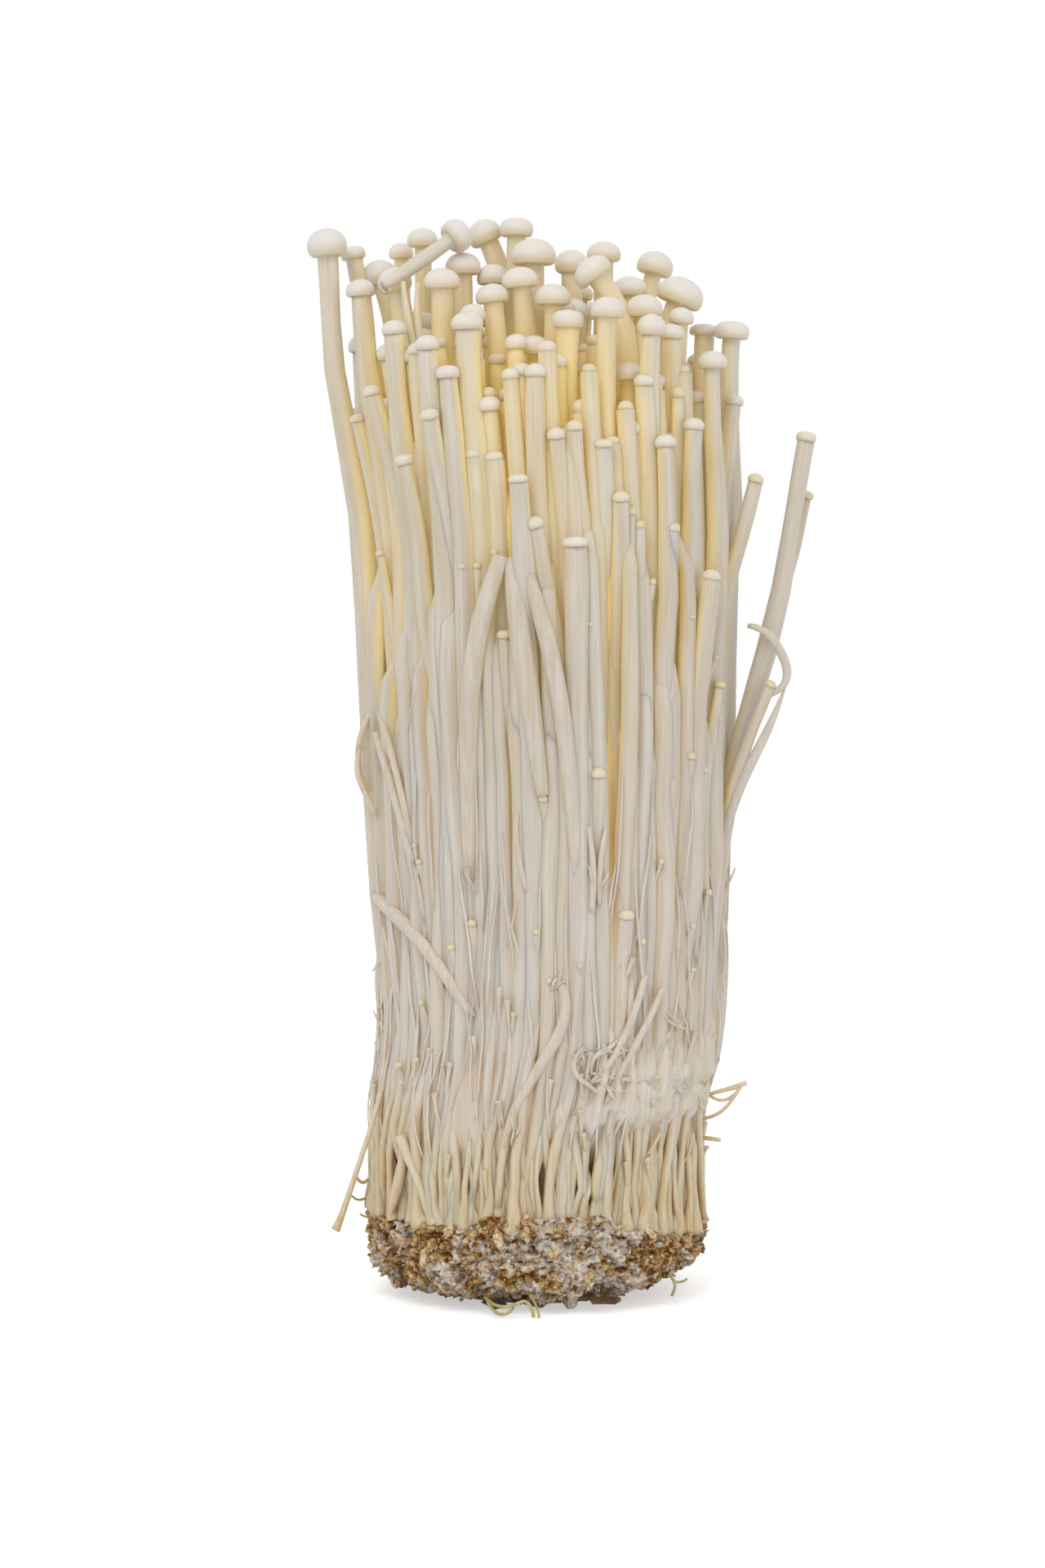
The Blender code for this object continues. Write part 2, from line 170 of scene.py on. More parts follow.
def settled(made: Model, even: bool = True) -> Model:
    """Turn a model's faces outwards.

    Args:
        made: The model.
        even: Whether its faces are also shaded smooth.

    Returns:
        The same model, selected and active.
    """
    pick([made])
    bpy.ops.object.mode_set(mode="EDIT")
    bpy.ops.mesh.select_all(action="SELECT")
    bpy.ops.mesh.normals_make_consistent(inside=False)
    if even:
        bpy.ops.mesh.faces_shade_smooth()
    bpy.ops.object.mode_set(mode="OBJECT")
    return made


def turned(sides: int, rings: Sequence[tuple[float, float]], even: bool = True) -> Model:
    """Model a closed body by extruding a disc from ring to ring.

    Args:
        sides: How many sides it has.
        rings: Height and radius of each ring after the first, which is at height 0 with a radius of 1.
        even: Whether its faces are shaded smooth.

    Returns:
        The body.
    """
    deselect()
    bpy.ops.mesh.primitive_circle_add(vertices=sides, radius=1.0, fill_type="NGON", location=(0, 0, 0))
    made = bpy.context.object
    bpy.ops.object.mode_set(mode="EDIT")
    bpy.ops.mesh.select_all(action="SELECT")
    height, width = 0.0, 1.0
    for level, reach in rings:
        bpy.ops.mesh.extrude_region_move(TRANSFORM_OT_translate={"value": (0, 0, level - height)})
        if reach != width:
            bpy.ops.transform.resize(value=(reach / width, reach / width, 1.0))
        height, width = level, reach
    return settled(made, even)


def points_of(mesh: Mesh) -> np.ndarray:
    """Read a mesh's points.

    Args:
        mesh: The mesh to read.

    Returns:
        An array with one row of x, y, z for each vertex.
    """
    flat = np.empty(len(mesh.vertices) * 3)
    mesh.vertices.foreach_get("co", flat)
    return flat.reshape(-1, 3)


def place_points(mesh: Mesh, points: np.ndarray) -> None:
    """Move a mesh's points.

    Args:
        mesh: The mesh to shape.
        points: One row of x, y, z for each vertex, in metres.
    """
    mesh.vertices.foreach_set("co", points.reshape(-1))
    mesh.update()


def store(mesh: Mesh, name: str, values: np.ndarray) -> None:
    """Store a vector or a colour value for each vertex.

    Args:
        mesh: The mesh to store it on.
        name: The attribute's name.
        values: A row for each vertex, of three numbers for a vector and four for a colour value.
    """
    kind, key = ("FLOAT_VECTOR", "vector") if values.shape[1] == 3 else ("FLOAT_COLOR", "color")
    made = mesh.attributes.get(name) or mesh.attributes.new(name, kind, "POINT")
    made.data.foreach_set(key, values.reshape(-1))


def hand_over(piece: Model, slot: Slot, material: Material, *nodes: str) -> None:
    """Finish a piece: its material, its body and the solids that it stands for.

    Args:
        piece: The finished piece.
        slot: The record's material slot; not used.
        material: The material that the piece wears.
        nodes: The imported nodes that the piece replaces.
    """
    piece.data.materials.clear()
    piece.data.materials.append(material)
    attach(piece, "root")
    if nodes:
        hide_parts(*nodes)
    faces = sum(len(face.vertices) - 2 for face in piece.data.polygons)
    LOG.info("%s: %d triangles", piece.name, faces)


# ---- Finishes ----


class Shading:
    """A material's node tree, with short calls to add nodes and join them."""

    def __init__(self, name: str) -> None:
        """Start a material with its own shader.

        Args:
            name: The material's name.
        """
        self.material = bpy.data.materials.new(name)
        self.material.use_nodes = True
        self.tree = self.material.node_tree
        self.shader = self.tree.nodes["Principled BSDF"]

    def node(self, kind: str, **settings: object) -> bpy.types.Node:
        """Add a node.

        Args:
            kind: The node's type name.
            settings: Properties to set on it.

        Returns:
            The new node.
        """
        made = self.tree.nodes.new(kind)
        for key, value in settings.items():
            setattr(made, key, value)
        return made

    def join(self, source: Socket, target: Socket) -> None:
        """Link one socket to another."""
        self.tree.links.new(source, target)

    def feed(self, target: Socket, value: object) -> None:
        """Link a socket or set a plain value.

        Args:
            target: The socket that takes the value.
            value: A socket, a number or a colour.
        """
        if isinstance(value, Socket):
            self.join(value, target)
        elif isinstance(value, tuple) and len(value) == 3 and target.type == "RGBA":
            target.default_value = (*value, 1.0)
        else:
            target.default_value = value

    def sums(self, operation: str, first: object, second: object) -> Socket:
        """Add a Math node.

        Args:
            operation: The Math node's operation.
            first: Its first value.
            second: Its second value.

        Returns:
            The result's socket.
        """
        made = self.node("ShaderNodeMath", operation=operation)
        self.feed(made.inputs[0], first)
        self.feed(made.inputs[1], second)
        return made.outputs[0]

    def weighed(self, first: object, share: float, second: object, rest: float) -> Socket:
        """Add two values, each with its weight.

        Args:
            first: The first value.
            share: Its weight.
            second: The second value.
            rest: The second one's weight.

        Returns:
            The result's socket.
        """
        return self.sums("ADD", self.sums("MULTIPLY", first, share), self.sums("MULTIPLY", second, rest))

    def ranged(self, value: object, low: float, high: float, to_low: float = 0.0,
               to_high: float = 1.0) -> Socket:
        """Map a range smoothly onto another.

        Args:
            value: The value to map.
            low: Where the range starts.
            high: Where the range ends.
            to_low: What the start becomes.
            to_high: What the end becomes.

        Returns:
            The result's socket.
        """
        made = self.node("ShaderNodeMapRange", interpolation_type="SMOOTHSTEP")
        self.feed(made.inputs["Value"], value)
        for name, number in (("From Min", low), ("From Max", high), ("To Min", to_low), ("To Max", to_high)):
            made.inputs[name].default_value = number
        return made.outputs["Result"]

    def blend(self, share: object, first: object, second: object) -> Socket:
        """Mix two colours.

        Args:
            share: How much of the second colour.
            first: The first colour.
            second: The second colour.

        Returns:
            The mixed colour's socket.
        """
        made = self.node("ShaderNodeMix", data_type="RGBA")
        self.feed(made.inputs["Factor"], share)
        self.feed(made.inputs["A"], first)
        self.feed(made.inputs["B"], second)
        return made.outputs["Result"]

    def laid(self, base: object, colour: Colour, share: float, value: object, low: float,
             high: float) -> Socket:
        """Lay a colour over another where a value passes through a range.

        Args:
            base: The colour underneath.
            colour: The colour on top.
            share: How much of it shows where it shows most.
            value: The value that says where it shows.
            low: Where it begins.
            high: Where it shows most.

        Returns:
            The mixed colour's socket.
        """
        return self.blend(self.ranged(value, low, high, 0.0, share), base, colour)

    def ramp(self, value: object, stops: Sequence[tuple[float, Colour]]) -> Socket:
        """Colour a value by a ramp.

        Args:
            value: The value to colour.
            stops: Places from 0 to 1 with their colours.

        Returns:
            The colour's socket.
        """
        made = self.node("ShaderNodeValToRGB")
        marks = made.color_ramp.elements
        while len(marks) < len(stops):
            marks.new(0.5)
        for mark, (place, colour) in zip(marks, stops):
            mark.position = place
            mark.color = (*colour, 1.0)
        self.feed(made.inputs["Fac"], value)
        return made.outputs["Color"]

    def grainy(self, place: Socket, scale: Point, detail: float = 3.0,
               offset: Point = (0.0, 0.0, 0.0)) -> Socket:
        """Noise stretched along the axes.

        Args:
            place: The coordinates.
            scale: How fine the noise is along x, y and z, per metre.
            detail: How many finer layers it has.
            offset: Where the pattern starts.

        Returns:
            The noise value's socket.
        """
        mapping = self.node("ShaderNodeMapping")
        mapping.inputs["Scale"].default_value = scale
        mapping.inputs["Location"].default_value = offset
        self.join(place, mapping.inputs["Vector"])
        made = self.node("ShaderNodeTexNoise")
        made.inputs["Scale"].default_value = 1.0
        made.inputs["Detail"].default_value = detail
        made.inputs["Roughness"].default_value = 0.55
        self.join(mapping.outputs[0], made.inputs["Vector"])
        return made.outputs["Fac"]

    def bump(self, height: object, strength: float, distance: float) -> None:
        """Raise fine relief on the shader.

        Args:
            height: The height's socket.
            strength: How strongly it shows.
            distance: How high it is, in metres.
        """
        made = self.node("ShaderNodeBump")
        made.inputs["Strength"].default_value = strength
        made.inputs["Distance"].default_value = distance
        self.feed(made.inputs["Height"], height)
        self.join(made.outputs["Normal"], self.shader.inputs["Normal"])

    def shine(self, share: object, colour: Colour) -> None:
        """Paint a glow on the walls of the gaps, an emission that stands in for light that came through the
        flesh.

        Args:
            share: How much of it shows, from 0 to 1.
            colour: The light's colour.
        """
        self.join(self.blend(share, (0.0, 0.0, 0.0), colour), self.shader.inputs["Emission Color"])
        self.shader.inputs["Emission Strength"].default_value = 1.0
        self.material.cycles.emission_sampling = "NONE"

    def soften(self, weight: float, scale: float, reach: Colour) -> None:
        """Let light pass under the surface.

        Args:
            weight: How much light goes under.
            scale: How far it goes, in metres.
            reach: The share of that distance for red, green and blue.
        """
        self.shader.inputs["Subsurface Weight"].default_value = weight
        self.shader.inputs["Subsurface Scale"].default_value = scale
        self.shader.inputs["Subsurface Radius"].default_value = reach

    def where(self) -> Socket:
        """Give the object's own coordinates."""
        return self.node("ShaderNodeTexCoord").outputs["Object"]

    def height(self, place: Socket) -> Socket:
        """Give the height of a place.

        Args:
            place: The coordinates.

        Returns:
            The height's socket, in metres.
        """
        split = self.node("ShaderNodeSeparateXYZ")
        self.join(place, split.inputs[0])
        return split.outputs[2]

    def channels(self, colour: Socket) -> list[Socket]:
        """Split a colour.

        Args:
            colour: The colour's socket.

        Returns:
            The sockets of its red, green and blue.
        """
        split = self.node("ShaderNodeSeparateColor")
        self.join(colour, split.inputs[0])
        return list(split.outputs)

    def surface(self, colour: object, roughness: float, gloss: float = 0.5) -> Material:
        """Set the surface's main values.

        Args:
            colour: Its colour.
            roughness: How rough it is.
            gloss: How strongly it reflects.

        Returns:
            The finished material.
        """
        for name, value in (("Base Color", colour), ("Roughness", roughness), ("Specular IOR Level", gloss)):
            self.feed(self.shader.inputs[name], value)
        return self.material


@dataclass(frozen=True)
class FleshFinish:
    """Mushroom flesh: pale satin caps with painted shade at the rim, and stems striped lengthwise that darken
    towards the feet, with painted warm shade and glow in the gaps.
    """

    cap: Colour = linear(233, 228, 221)
    # Painted shade on the lower cap and its rim.
    cap_rim_shade: Colour = linear(226, 213, 190)
    small_cap: Colour = linear(230, 215, 178)
    # Painted warm shade of the gaps between the stems: high up, low down and at the feet.
    deep: Colour = linear(250, 227, 162)
    gap_shade_low: Colour = linear(248, 213, 156)
    gap_shade_foot: Colour = linear(210, 168, 98)
    # Painted glow in the gaps, as an emission.
    glow: Colour = (0.062, 0.049, 0.019)
    pale_streak: Colour = linear(228, 223, 214)
    dark_streak: Colour = linear(210, 184, 144)
    warm_stem: Colour = linear(222, 206, 172)
    cool_stem: Colour = linear(212, 210, 199)
    pale_blotch: Colour = linear(228, 222, 214)
    cap_mottle: Colour = linear(226, 212, 184)
    cap_speck: Colour = linear(196, 160, 104)
    roughness: float = 0.42
    by_height: tuple[tuple[float, Colour], ...] = (
        (0.012, linear(213, 191, 147)),
        (0.022, linear(221, 206, 174)),
        (0.034, linear(217, 208, 200)),
        (0.060, linear(213, 204, 196)),
        (0.090, linear(209, 200, 189)),
        (0.125, linear(211, 202, 187)),
        (0.150, linear(219, 211, 194)),
        (0.172, linear(223, 216, 202)),
    )
    tallest: float = 0.18

    def build(self) -> Material:
        """Make the material.

        Returns:
            The material, which reads each mushroom's straightened coordinates and its tone.
        """
        made = Shading("mushroom_flesh")
        where = made.where()
        height = made.height(where)
        tone = made.node("ShaderNodeAttribute", attribute_name="tone")
        head, depth, chance = made.channels(tone.outputs["Color"])
        grain = made.node("ShaderNodeAttribute", attribute_name="grain").outputs["Vector"]

        stops = [(z / self.tallest, colour) for z, colour in self.by_height]
        stem = made.ramp(made.sums("DIVIDE", height, self.tallest), stops)
        stripes = made.grainy(grain, (2600.0, 2600.0, 42.0), 4.0)
        broad = made.grainy(grain, (900.0, 900.0, 60.0), 2.0, (5.0, 1.0, 0.0))
        streak = made.weighed(stripes, 0.6, broad, 0.4)
        stem = made.laid(stem, self.pale_streak, 0.68, streak, 0.44, 0.66)
        stem = made.laid(stem, self.dark_streak, 0.46, streak, 0.52, 0.34)
        stem = made.laid(stem, self.warm_stem, 0.28, chance, 0.0, 1.0)
        stem = made.laid(stem, self.cool_stem, 0.40, chance, 0.45, 0.0)
        blotch = made.grainy(where, (160.0, 160.0, 70.0), 3.0)
        stem = made.laid(stem, self.pale_blotch, 0.30, blotch, 0.52, 0.72)

        # Painted shade: the lower cap and its rim take a darker, warmer colour than the top.
        rim = made.blend(made.ranged(head, 0.30, 1.0), self.cap_rim_shade, self.cap)
        crown = made.blend(tone.outputs["Alpha"], rim, self.small_cap)
        mottle = made.grainy(where, (420.0, 420.0, 420.0), 3.0, (2.0, 0.0, 7.0))
        crown = made.laid(crown, self.cap_mottle, 0.22, mottle, 0.50, 0.75)
        speck = made.grainy(where, (1500.0, 1500.0, 1500.0), 1.0, (4.0, 3.0, 1.0))
        crown = made.laid(crown, self.cap_speck, 0.35, speck, 0.76, 0.82)
        flesh = made.blend(made.ranged(head, 0.30, 0.42), stem, crown)

        # Painted warm shade in the gaps: the tone's depth says how much of the gap colour a stem takes, deep
        # in the bunch and on its sides that face the gaps.
        foot = made.blend(made.ranged(height, 0.018, 0.036), self.gap_shade_foot, self.gap_shade_low)
        gap_shade = made.blend(made.ranged(height, 0.045, 0.105), foot, self.deep)
        gap_shade_share = made.sums("MULTIPLY", depth, made.ranged(height, 0.070, 0.140, 0.74, 0.92))
        # Painted glow in the gaps above the feet.
        made.shine(made.sums("MULTIPLY", depth, made.ranged(height, 0.018, 0.034)), self.glow)
        made.soften(0.40, 0.0013, (1.0, 0.80, 0.52))
        relief = made.sums("MULTIPLY", streak, made.ranged(head, 0.45, 0.30))
        fine = made.grainy(where, (2200.0, 2200.0, 2200.0), 2.0)
        made.bump(made.sums("ADD", relief, made.sums("MULTIPLY", fine, 0.10)), 0.55, 0.00022)
        return made.surface(made.blend(gap_shade_share, flesh, gap_shade), self.roughness, 0.35)


@dataclass(frozen=True)
class FilmFinish:
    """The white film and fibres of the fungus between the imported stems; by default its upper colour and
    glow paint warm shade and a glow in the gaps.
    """

    name: str = "fungus_film"
    pale: Colour = linear(224, 214, 204)
    straw: Colour = linear(221, 207, 186)
    dusk: Colour = linear(229, 208, 178)
    # In the fungus film, upper is painted warm shade of the gaps, and glow a painted glow there.
    upper: Colour = linear(248, 221, 154)
    low: Colour = linear(212, 177, 128)
    glow: Colour = (0.050, 0.038, 0.013)

    def build(self) -> Material:
        """Make the material.

        Returns:
            The material.
        """
        made = Shading(self.name)
        where = made.where()
        height = made.height(where)
        streak = made.grainy(where, (1400.0, 1400.0, 60.0), 4.0)
        patch = made.grainy(where, (170.0, 170.0, 110.0), 3.0, (1.0, 5.0, 2.0))
        colour = made.laid(self.straw, self.pale, 1.0, streak, 0.38, 0.62)
        colour = made.laid(colour, self.dusk, 0.55, patch, 0.58, 0.38)
        colour = made.laid(colour, self.low, 0.8, height, 0.030, 0.016)
        # Painted warm shade of the gaps high up, and a painted glow there, in the fungus film.
        colour = made.laid(colour, self.upper, 0.9, height, 0.048, 0.078)
        made.shine(made.ranged(height, 0.040, 0.080), self.glow)
        made.soften(0.25, 0.0012, (1.0, 0.7, 0.45))
        made.bump(streak, 0.6, 0.0003)
        return made.surface(colour, 0.62, 0.25)


@dataclass(frozen=True)
class BranFinish:
    """Crumbs of bran and sawdust, with painted shade in the cracks and between the grains, and white threads
    of the fungus grown over them.
    """

    dark: Colour = linear(138, 86, 34)
    brown: Colour = linear(206, 162, 102)
    ochre: Colour = linear(232, 200, 148)
    straw: Colour = linear(248, 228, 190)
    white: Colour = linear(246, 240, 232)
    thread: Colour = linear(226, 214, 196)
    dark_fleck: Colour = linear(112, 70, 32)
    pale_fleck: Colour = linear(232, 212, 172)
    # Painted shade between the grains.
    gap_shade: Colour = linear(84, 48, 18)
    # Painted shade in the cracks between the crumbs.
    crevice_shade: Colour = linear(44, 22, 6)

    def build(self) -> Material:
        """Make the material.

        Returns:
            The material, which reads each crumb's tone, crack and fungus cover.
        """
        made = Shading("bran_substrate")
        where = made.where()
        crumb = made.node("ShaderNodeAttribute", attribute_name="crumb")
        chance, crevice_shade, cover = made.channels(crumb.outputs["Color"])
        cells = made.node("ShaderNodeTexVoronoi", feature="F1")
        cells.inputs["Scale"].default_value = 1500.0
        made.join(where, cells.inputs["Vector"])
        edge = cells.outputs["Distance"]
        grain, poking, _ = made.channels(cells.outputs["Color"])
        mixed = made.weighed(chance, 0.5, grain, 0.55)
        shades = ((0.08, self.dark), (0.38, self.brown), (0.68, self.ochre), (0.95, self.straw))
        bran = made.ramp(mixed, shades)
        fleck = made.grainy(where, (2600.0, 2600.0, 2600.0), 3.0)
        bran = made.laid(bran, self.dark_fleck, 0.5, fleck, 0.44, 0.32)
        bran = made.laid(bran, self.pale_fleck, 0.5, fleck, 0.56, 0.70)
        # Painted shade between the grains.
        bran = made.laid(bran, self.gap_shade, 0.55, edge, 0.46, 0.80)
        fuzz = made.grainy(where, (560.0, 560.0, 560.0), 7.0, (3.0, 3.0, 3.0))
        grown = made.ranged(made.sums("ADD", made.sums("MULTIPLY", cover, 0.50), fuzz), 0.59, 0.69, 0.0, 0.94)
        held = made.sums("SUBTRACT", 1.0, made.ranged(poking, 0.60, 0.66, 0.0, 0.85))
        threads = made.blend(fleck, self.white, self.thread)
        bran = made.blend(made.sums("MULTIPLY", grown, held), bran, threads)
        # Painted shade in the cracks between the crumbs.
        bran = made.blend(made.sums("MULTIPLY", crevice_shade, 0.7), bran, self.crevice_shade)
        lumps = made.sums("SUBTRACT", made.sums("MULTIPLY", fleck, 0.6), made.sums("MULTIPLY", edge, 0.8))
        made.bump(made.sums("ADD", lumps, made.sums("MULTIPLY", fuzz, 0.5)), 0.9, 0.0005)
        return made.surface(bran, 0.85, 0.06)


@dataclass(frozen=True)
class PlainFinish:
    """A lightly mottled finish: the greenish root threads and the dark husks."""

    name: str
    colour: Colour
    second: Colour
    roughness: float

    def build(self) -> Material:
        """Make the material.

        Returns:
            The material.
        """
        made = Shading(self.name)
        mottle = made.grainy(made.where(), (350.0, 350.0, 200.0), 2.0)
        return made.surface(made.laid(self.colour, self.second, 1.0, mottle, 0.35, 0.65), self.roughness)


# ---- How the bunch grows ----


@dataclass(frozen=True)
class Sprout:
    """One mushroom: where the middle of its cap is, and its sizes, in millimetres.

    A set foot_x says where it starts across, nod how far its top leans aside, via the places that its
    stem goes through, and length how far down a slender one reaches.
    """

    x: float
    y: float
    z: float
    cap: float
    stem: float
    foot_x: float | None = None
    nod: float = 0.0
    via: tuple[Point, ...] = ()
    head: Cap = Cap.DOME
    length: float = 52.0


@dataclass(frozen=True)
class Bundle:
    """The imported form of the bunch, which every stem follows. Sizes are in millimetres."""

    seat_z: float = 13.0
    foot_radius: float = 27.0
    crown_radius: float = 31.2
    crown_z: float = 150.0
    foot_gap: float = 0.7
    foot_inset: float = 1.7
    slender: float = 2.75
    slender_root: float = 5.5
    core_inset: float = 2.6
    nod_length: float = 13.0
    fill_power: float = 0.95
    lean_right: float = 2.5

    def packed_radius(self, z: float) -> float:
        """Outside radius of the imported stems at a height."""
        rise = clamped((z - self.seat_z) / (self.crown_z - self.seat_z))
        return self.foot_radius + (self.crown_radius - self.foot_radius) * rise**self.fill_power

    def bulge(self, z: float) -> float:
        """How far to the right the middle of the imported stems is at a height."""
        back = 0.2 * smooth((z - 80.0) / 30.0) + 0.8 * smooth((z - 112.0) / 40.0)
        return self.lean_right * (smooth((z - 26.0) / 18.0) - back)

    def centred(self, place: Point) -> Vector:
        """A place as it would be if the bunch stood straight."""
        return Vector((place[0] - self.bulge(place[2]), place[1], place[2]))

    def around(self, angle: float, z: float, out: float) -> Point:
        """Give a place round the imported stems.

        Args:
            angle: The angle round the bunch, in radians.
            z: The height, in millimetres.
            out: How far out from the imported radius, in millimetres.

        Returns:
            The place.
        """
        radius = self.packed_radius(z) + out
        return radius * math.cos(angle) + self.bulge(z), radius * math.sin(angle), z

    def seat_height(self, x: float) -> float:
        """Top of the block, which is lower towards its right-hand edge."""
        return self.seat_z - 2.4 * clamped((x - 13.0) / 10.0)

    def front_y(self, x: float, z: float, sunk: float) -> float:
        """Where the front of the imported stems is, at a place across and up.

        Args:
            x: Place across.
            z: Height.
            sunk: How far inside the outermost surface.

        Returns:
            The place in depth, which is negative in front.
        """
        radius = self.packed_radius(z) - sunk
        across = x - self.bulge(z)
        return -math.sqrt(max(radius * radius - across * across, 4.0))

    def foot_of(self, sprout: Sprout) -> Vector:
        """Where a mushroom starts.

        Args:
            sprout: The mushroom.

        Returns:
            A place on the block, or inside the bunch for a slender mushroom.
        """
        first = self.centred(sprout.via[0] if sprout.via else (sprout.x - sprout.nod, sprout.y, sprout.z))
        slender = sprout.stem < self.slender and not sprout.via
        z = max(sprout.z - sprout.length, self.seat_z + 12.0)
        most = self.packed_radius(z) - self.slender_root if slender else self.foot_radius - self.foot_inset
        share = most / (self.packed_radius(first[2]) - self.foot_inset)
        x = first[0] * share if sprout.foot_x is None else sprout.foot_x
        y = first[1] * share
        reach = math.hypot(x, y)
        if reach > most:
            x, y = x * most / reach, y * most / reach
        return Vector((x, y, z if slender else self.seat_height(x) + self.foot_gap))

    def centre(self, sprout: Sprout, foot: Vector, sway: tuple[float, float], share: float) -> Vector:
        """Centre of a stem.

        Args:
            sprout: The mushroom.
            foot: Where it starts.
            sway: How far it bows across and in depth.
            share: How far up, from 0 at the foot to 1 at the middle of the cap.

        Returns:
            The place of the stem's centre.
        """
        tip = self.centred((sprout.x, sprout.y, sprout.z))
        z = foot.z + (tip.z - foot.z) * share
        marks = [foot, *(self.centred(mark) for mark in sprout.via), tip]
        if len(marks) > 2:
            return self.through(marks, z)
        lean = share**1.35
        bow = math.sin(math.pi * clamped(share))
        x = foot.x + (tip.x - sprout.nod - foot.x) * lean + sway[0] * bow
        y = foot.y + (tip.y - foot.y) * lean + sway[1] * bow
        most = self.packed_radius(z) - self.core_inset + 0.28 * sprout.stem + 9.0 * clamped(share - 0.74)
        held = min(1.0, most / max(math.hypot(x, y), 0.1))
        nodding = clamped((z - (tip.z - self.nod_length)) / self.nod_length)
        return Vector((x * held + sprout.nod * nodding**2 + self.bulge(z), y * held, z))

    def through(self, marks: Sequence[Vector], z: float) -> Vector:
        """Centre of a stem that goes through set places.

        Args:
            marks: The places, from the foot up.
            z: The height asked for.

        Returns:
            The place at that height, on a smooth line through the marks.
        """
        low = max(i for i in range(len(marks) - 1) if marks[i].z <= z + 1e-6)
        span = marks[low + 1].z - marks[low].z
        part = (z - marks[low].z) / span
        before, after = marks[max(low - 1, 0)], marks[min(low + 2, len(marks) - 1)]
        slope_low = (marks[low + 1] - before) / max(marks[low + 1].z - before.z, 1e-6)
        slope_high = (after - marks[low]) / max(after.z - marks[low].z, 1e-6)
        cube, square = part**3, part**2
        point = (marks[low] * (2 * cube - 3 * square + 1) + slope_low * span * (cube - 2 * square + part)
                 + marks[low + 1] * (3 * square - 2 * cube) + slope_high * span * (cube - square))
        return Vector((point.x + self.bulge(z), point.y, z))

    def girth(self, share: float) -> float:
        """Thickness along a stem: thin at the foot, full above the middle, less under the cap."""
        return 0.70 + 0.48 * smooth(share / 0.5) - 0.22 * clamped((share - 0.72) / 0.28)


# The mushrooms whose caps make the crown, from left to right.
CROWN = (
    Sprout(-33.1, -5, 166.8, 6.0, 3.2, via=((-24.2, -4, 60), (-26.6, -4, 90), (-27.0, -4, 112),
                                            (-28.4, -4.4, 128), (-31.5, -5, 145)), head=Cap.BALL),
    Sprout(-29.2, 0, 165.8, 3.8, 2.6, foot_x=-23.5, head=Cap.BUTTON),
    Sprout(-27.7, -8, 159.6, 4.5, 3.3, foot_x=-19.5),
    Sprout(-25.2, 1, 162.6, 5.2, 3.0, nod=-2.5, head=Cap.BALL),
    Sprout(-22.4, -7.5, 160.8, 5.2, 3.2, nod=-1.6, head=Cap.BALL),
    Sprout(-18.2, 3, 168.4, 5.0, 3.0),
    Sprout(-21.8, 9, 166.8, 4.2, 2.8),
    Sprout(-14.8, -14, 160.6, 5.3, 3.2),
    Sprout(-11.6, -5, 163.6, 5.8, 3.0),
    Sprout(-6.9, -4, 162.0, 5.4, 3.1),
    Sprout(-7.0, -14, 158.3, 4.9, 3.0, nod=-0.8),
    Sprout(-9.9, -18, 155.1, 4.3, 3.0),
    Sprout(-10.7, -24, 153.4, 4.5, 3.4),
    Sprout(-8.4, 4, 169.3, 5.2, 3.0, nod=-3.4, head=Cap.BALL),
    Sprout(-3.2, 1, 169.9, 5.4, 3.0, foot_x=-4.5, head=Cap.BUTTON),
    Sprout(-2.7, -12, 160.9, 5.4, 3.3, nod=-0.8),
    Sprout(-0.5, -5.5, 165.4, 6.8, 3.1),
    Sprout(2.5, -14, 158.1, 5.5, 3.0),
    Sprout(4.9, -20, 154.0, 5.1, 3.5, foot_x=0.5, head=Cap.BUTTON),
    Sprout(5.6, 2, 164.4, 5.0, 3.0, head=Cap.BALL),
    Sprout(8.5, -13, 162.1, 5.8, 3.3, foot_x=14.0, nod=-5.6),
    Sprout(10.9, 8, 166.6, 5.2, 3.0),
    Sprout(10.9, -22, 155.6, 5.3, 3.1, foot_x=6.0),
    Sprout(14.8, -3, 160.2, 5.3, 3.0),
    Sprout(16.8, -12, 156.5, 5.8, 3.0),
    Sprout(17.7, -21, 152.9, 4.4, 3.0, foot_x=11.5, head=Cap.BALL),
    Sprout(19.3, 8, 164.7, 6.2, 3.0, nod=1.6),
    Sprout(21.0, -15, 152.4, 3.7, 2.7),
    Sprout(22.9, -4, 159.3, 7.2, 3.4, nod=2.6),
    Sprout(22.7, -10.5, 155.1, 4.2, 2.7),
    Sprout(26.9, 1, 153.7, 4.4, 2.9, head=Cap.FLAT),
    Sprout(31.1, -2, 153.4, 5.1, 3.0, head=Cap.BUTTON),
    Sprout(27.5, -12, 148.1, 4.6, 3.0),
    Sprout(33.1, -6, 142.2, 2.9, 2.7),
    Sprout(42.8, -4, 136.5, 2.9, 2.6, via=((25.8, -5, 38), (27.8, -5, 56), (29.2, -5, 72), (31.2, -5, 84),
                                           (34.2, -4.8, 93.6), (38.5, -4.4, 113)), head=Cap.BUTTON),
)

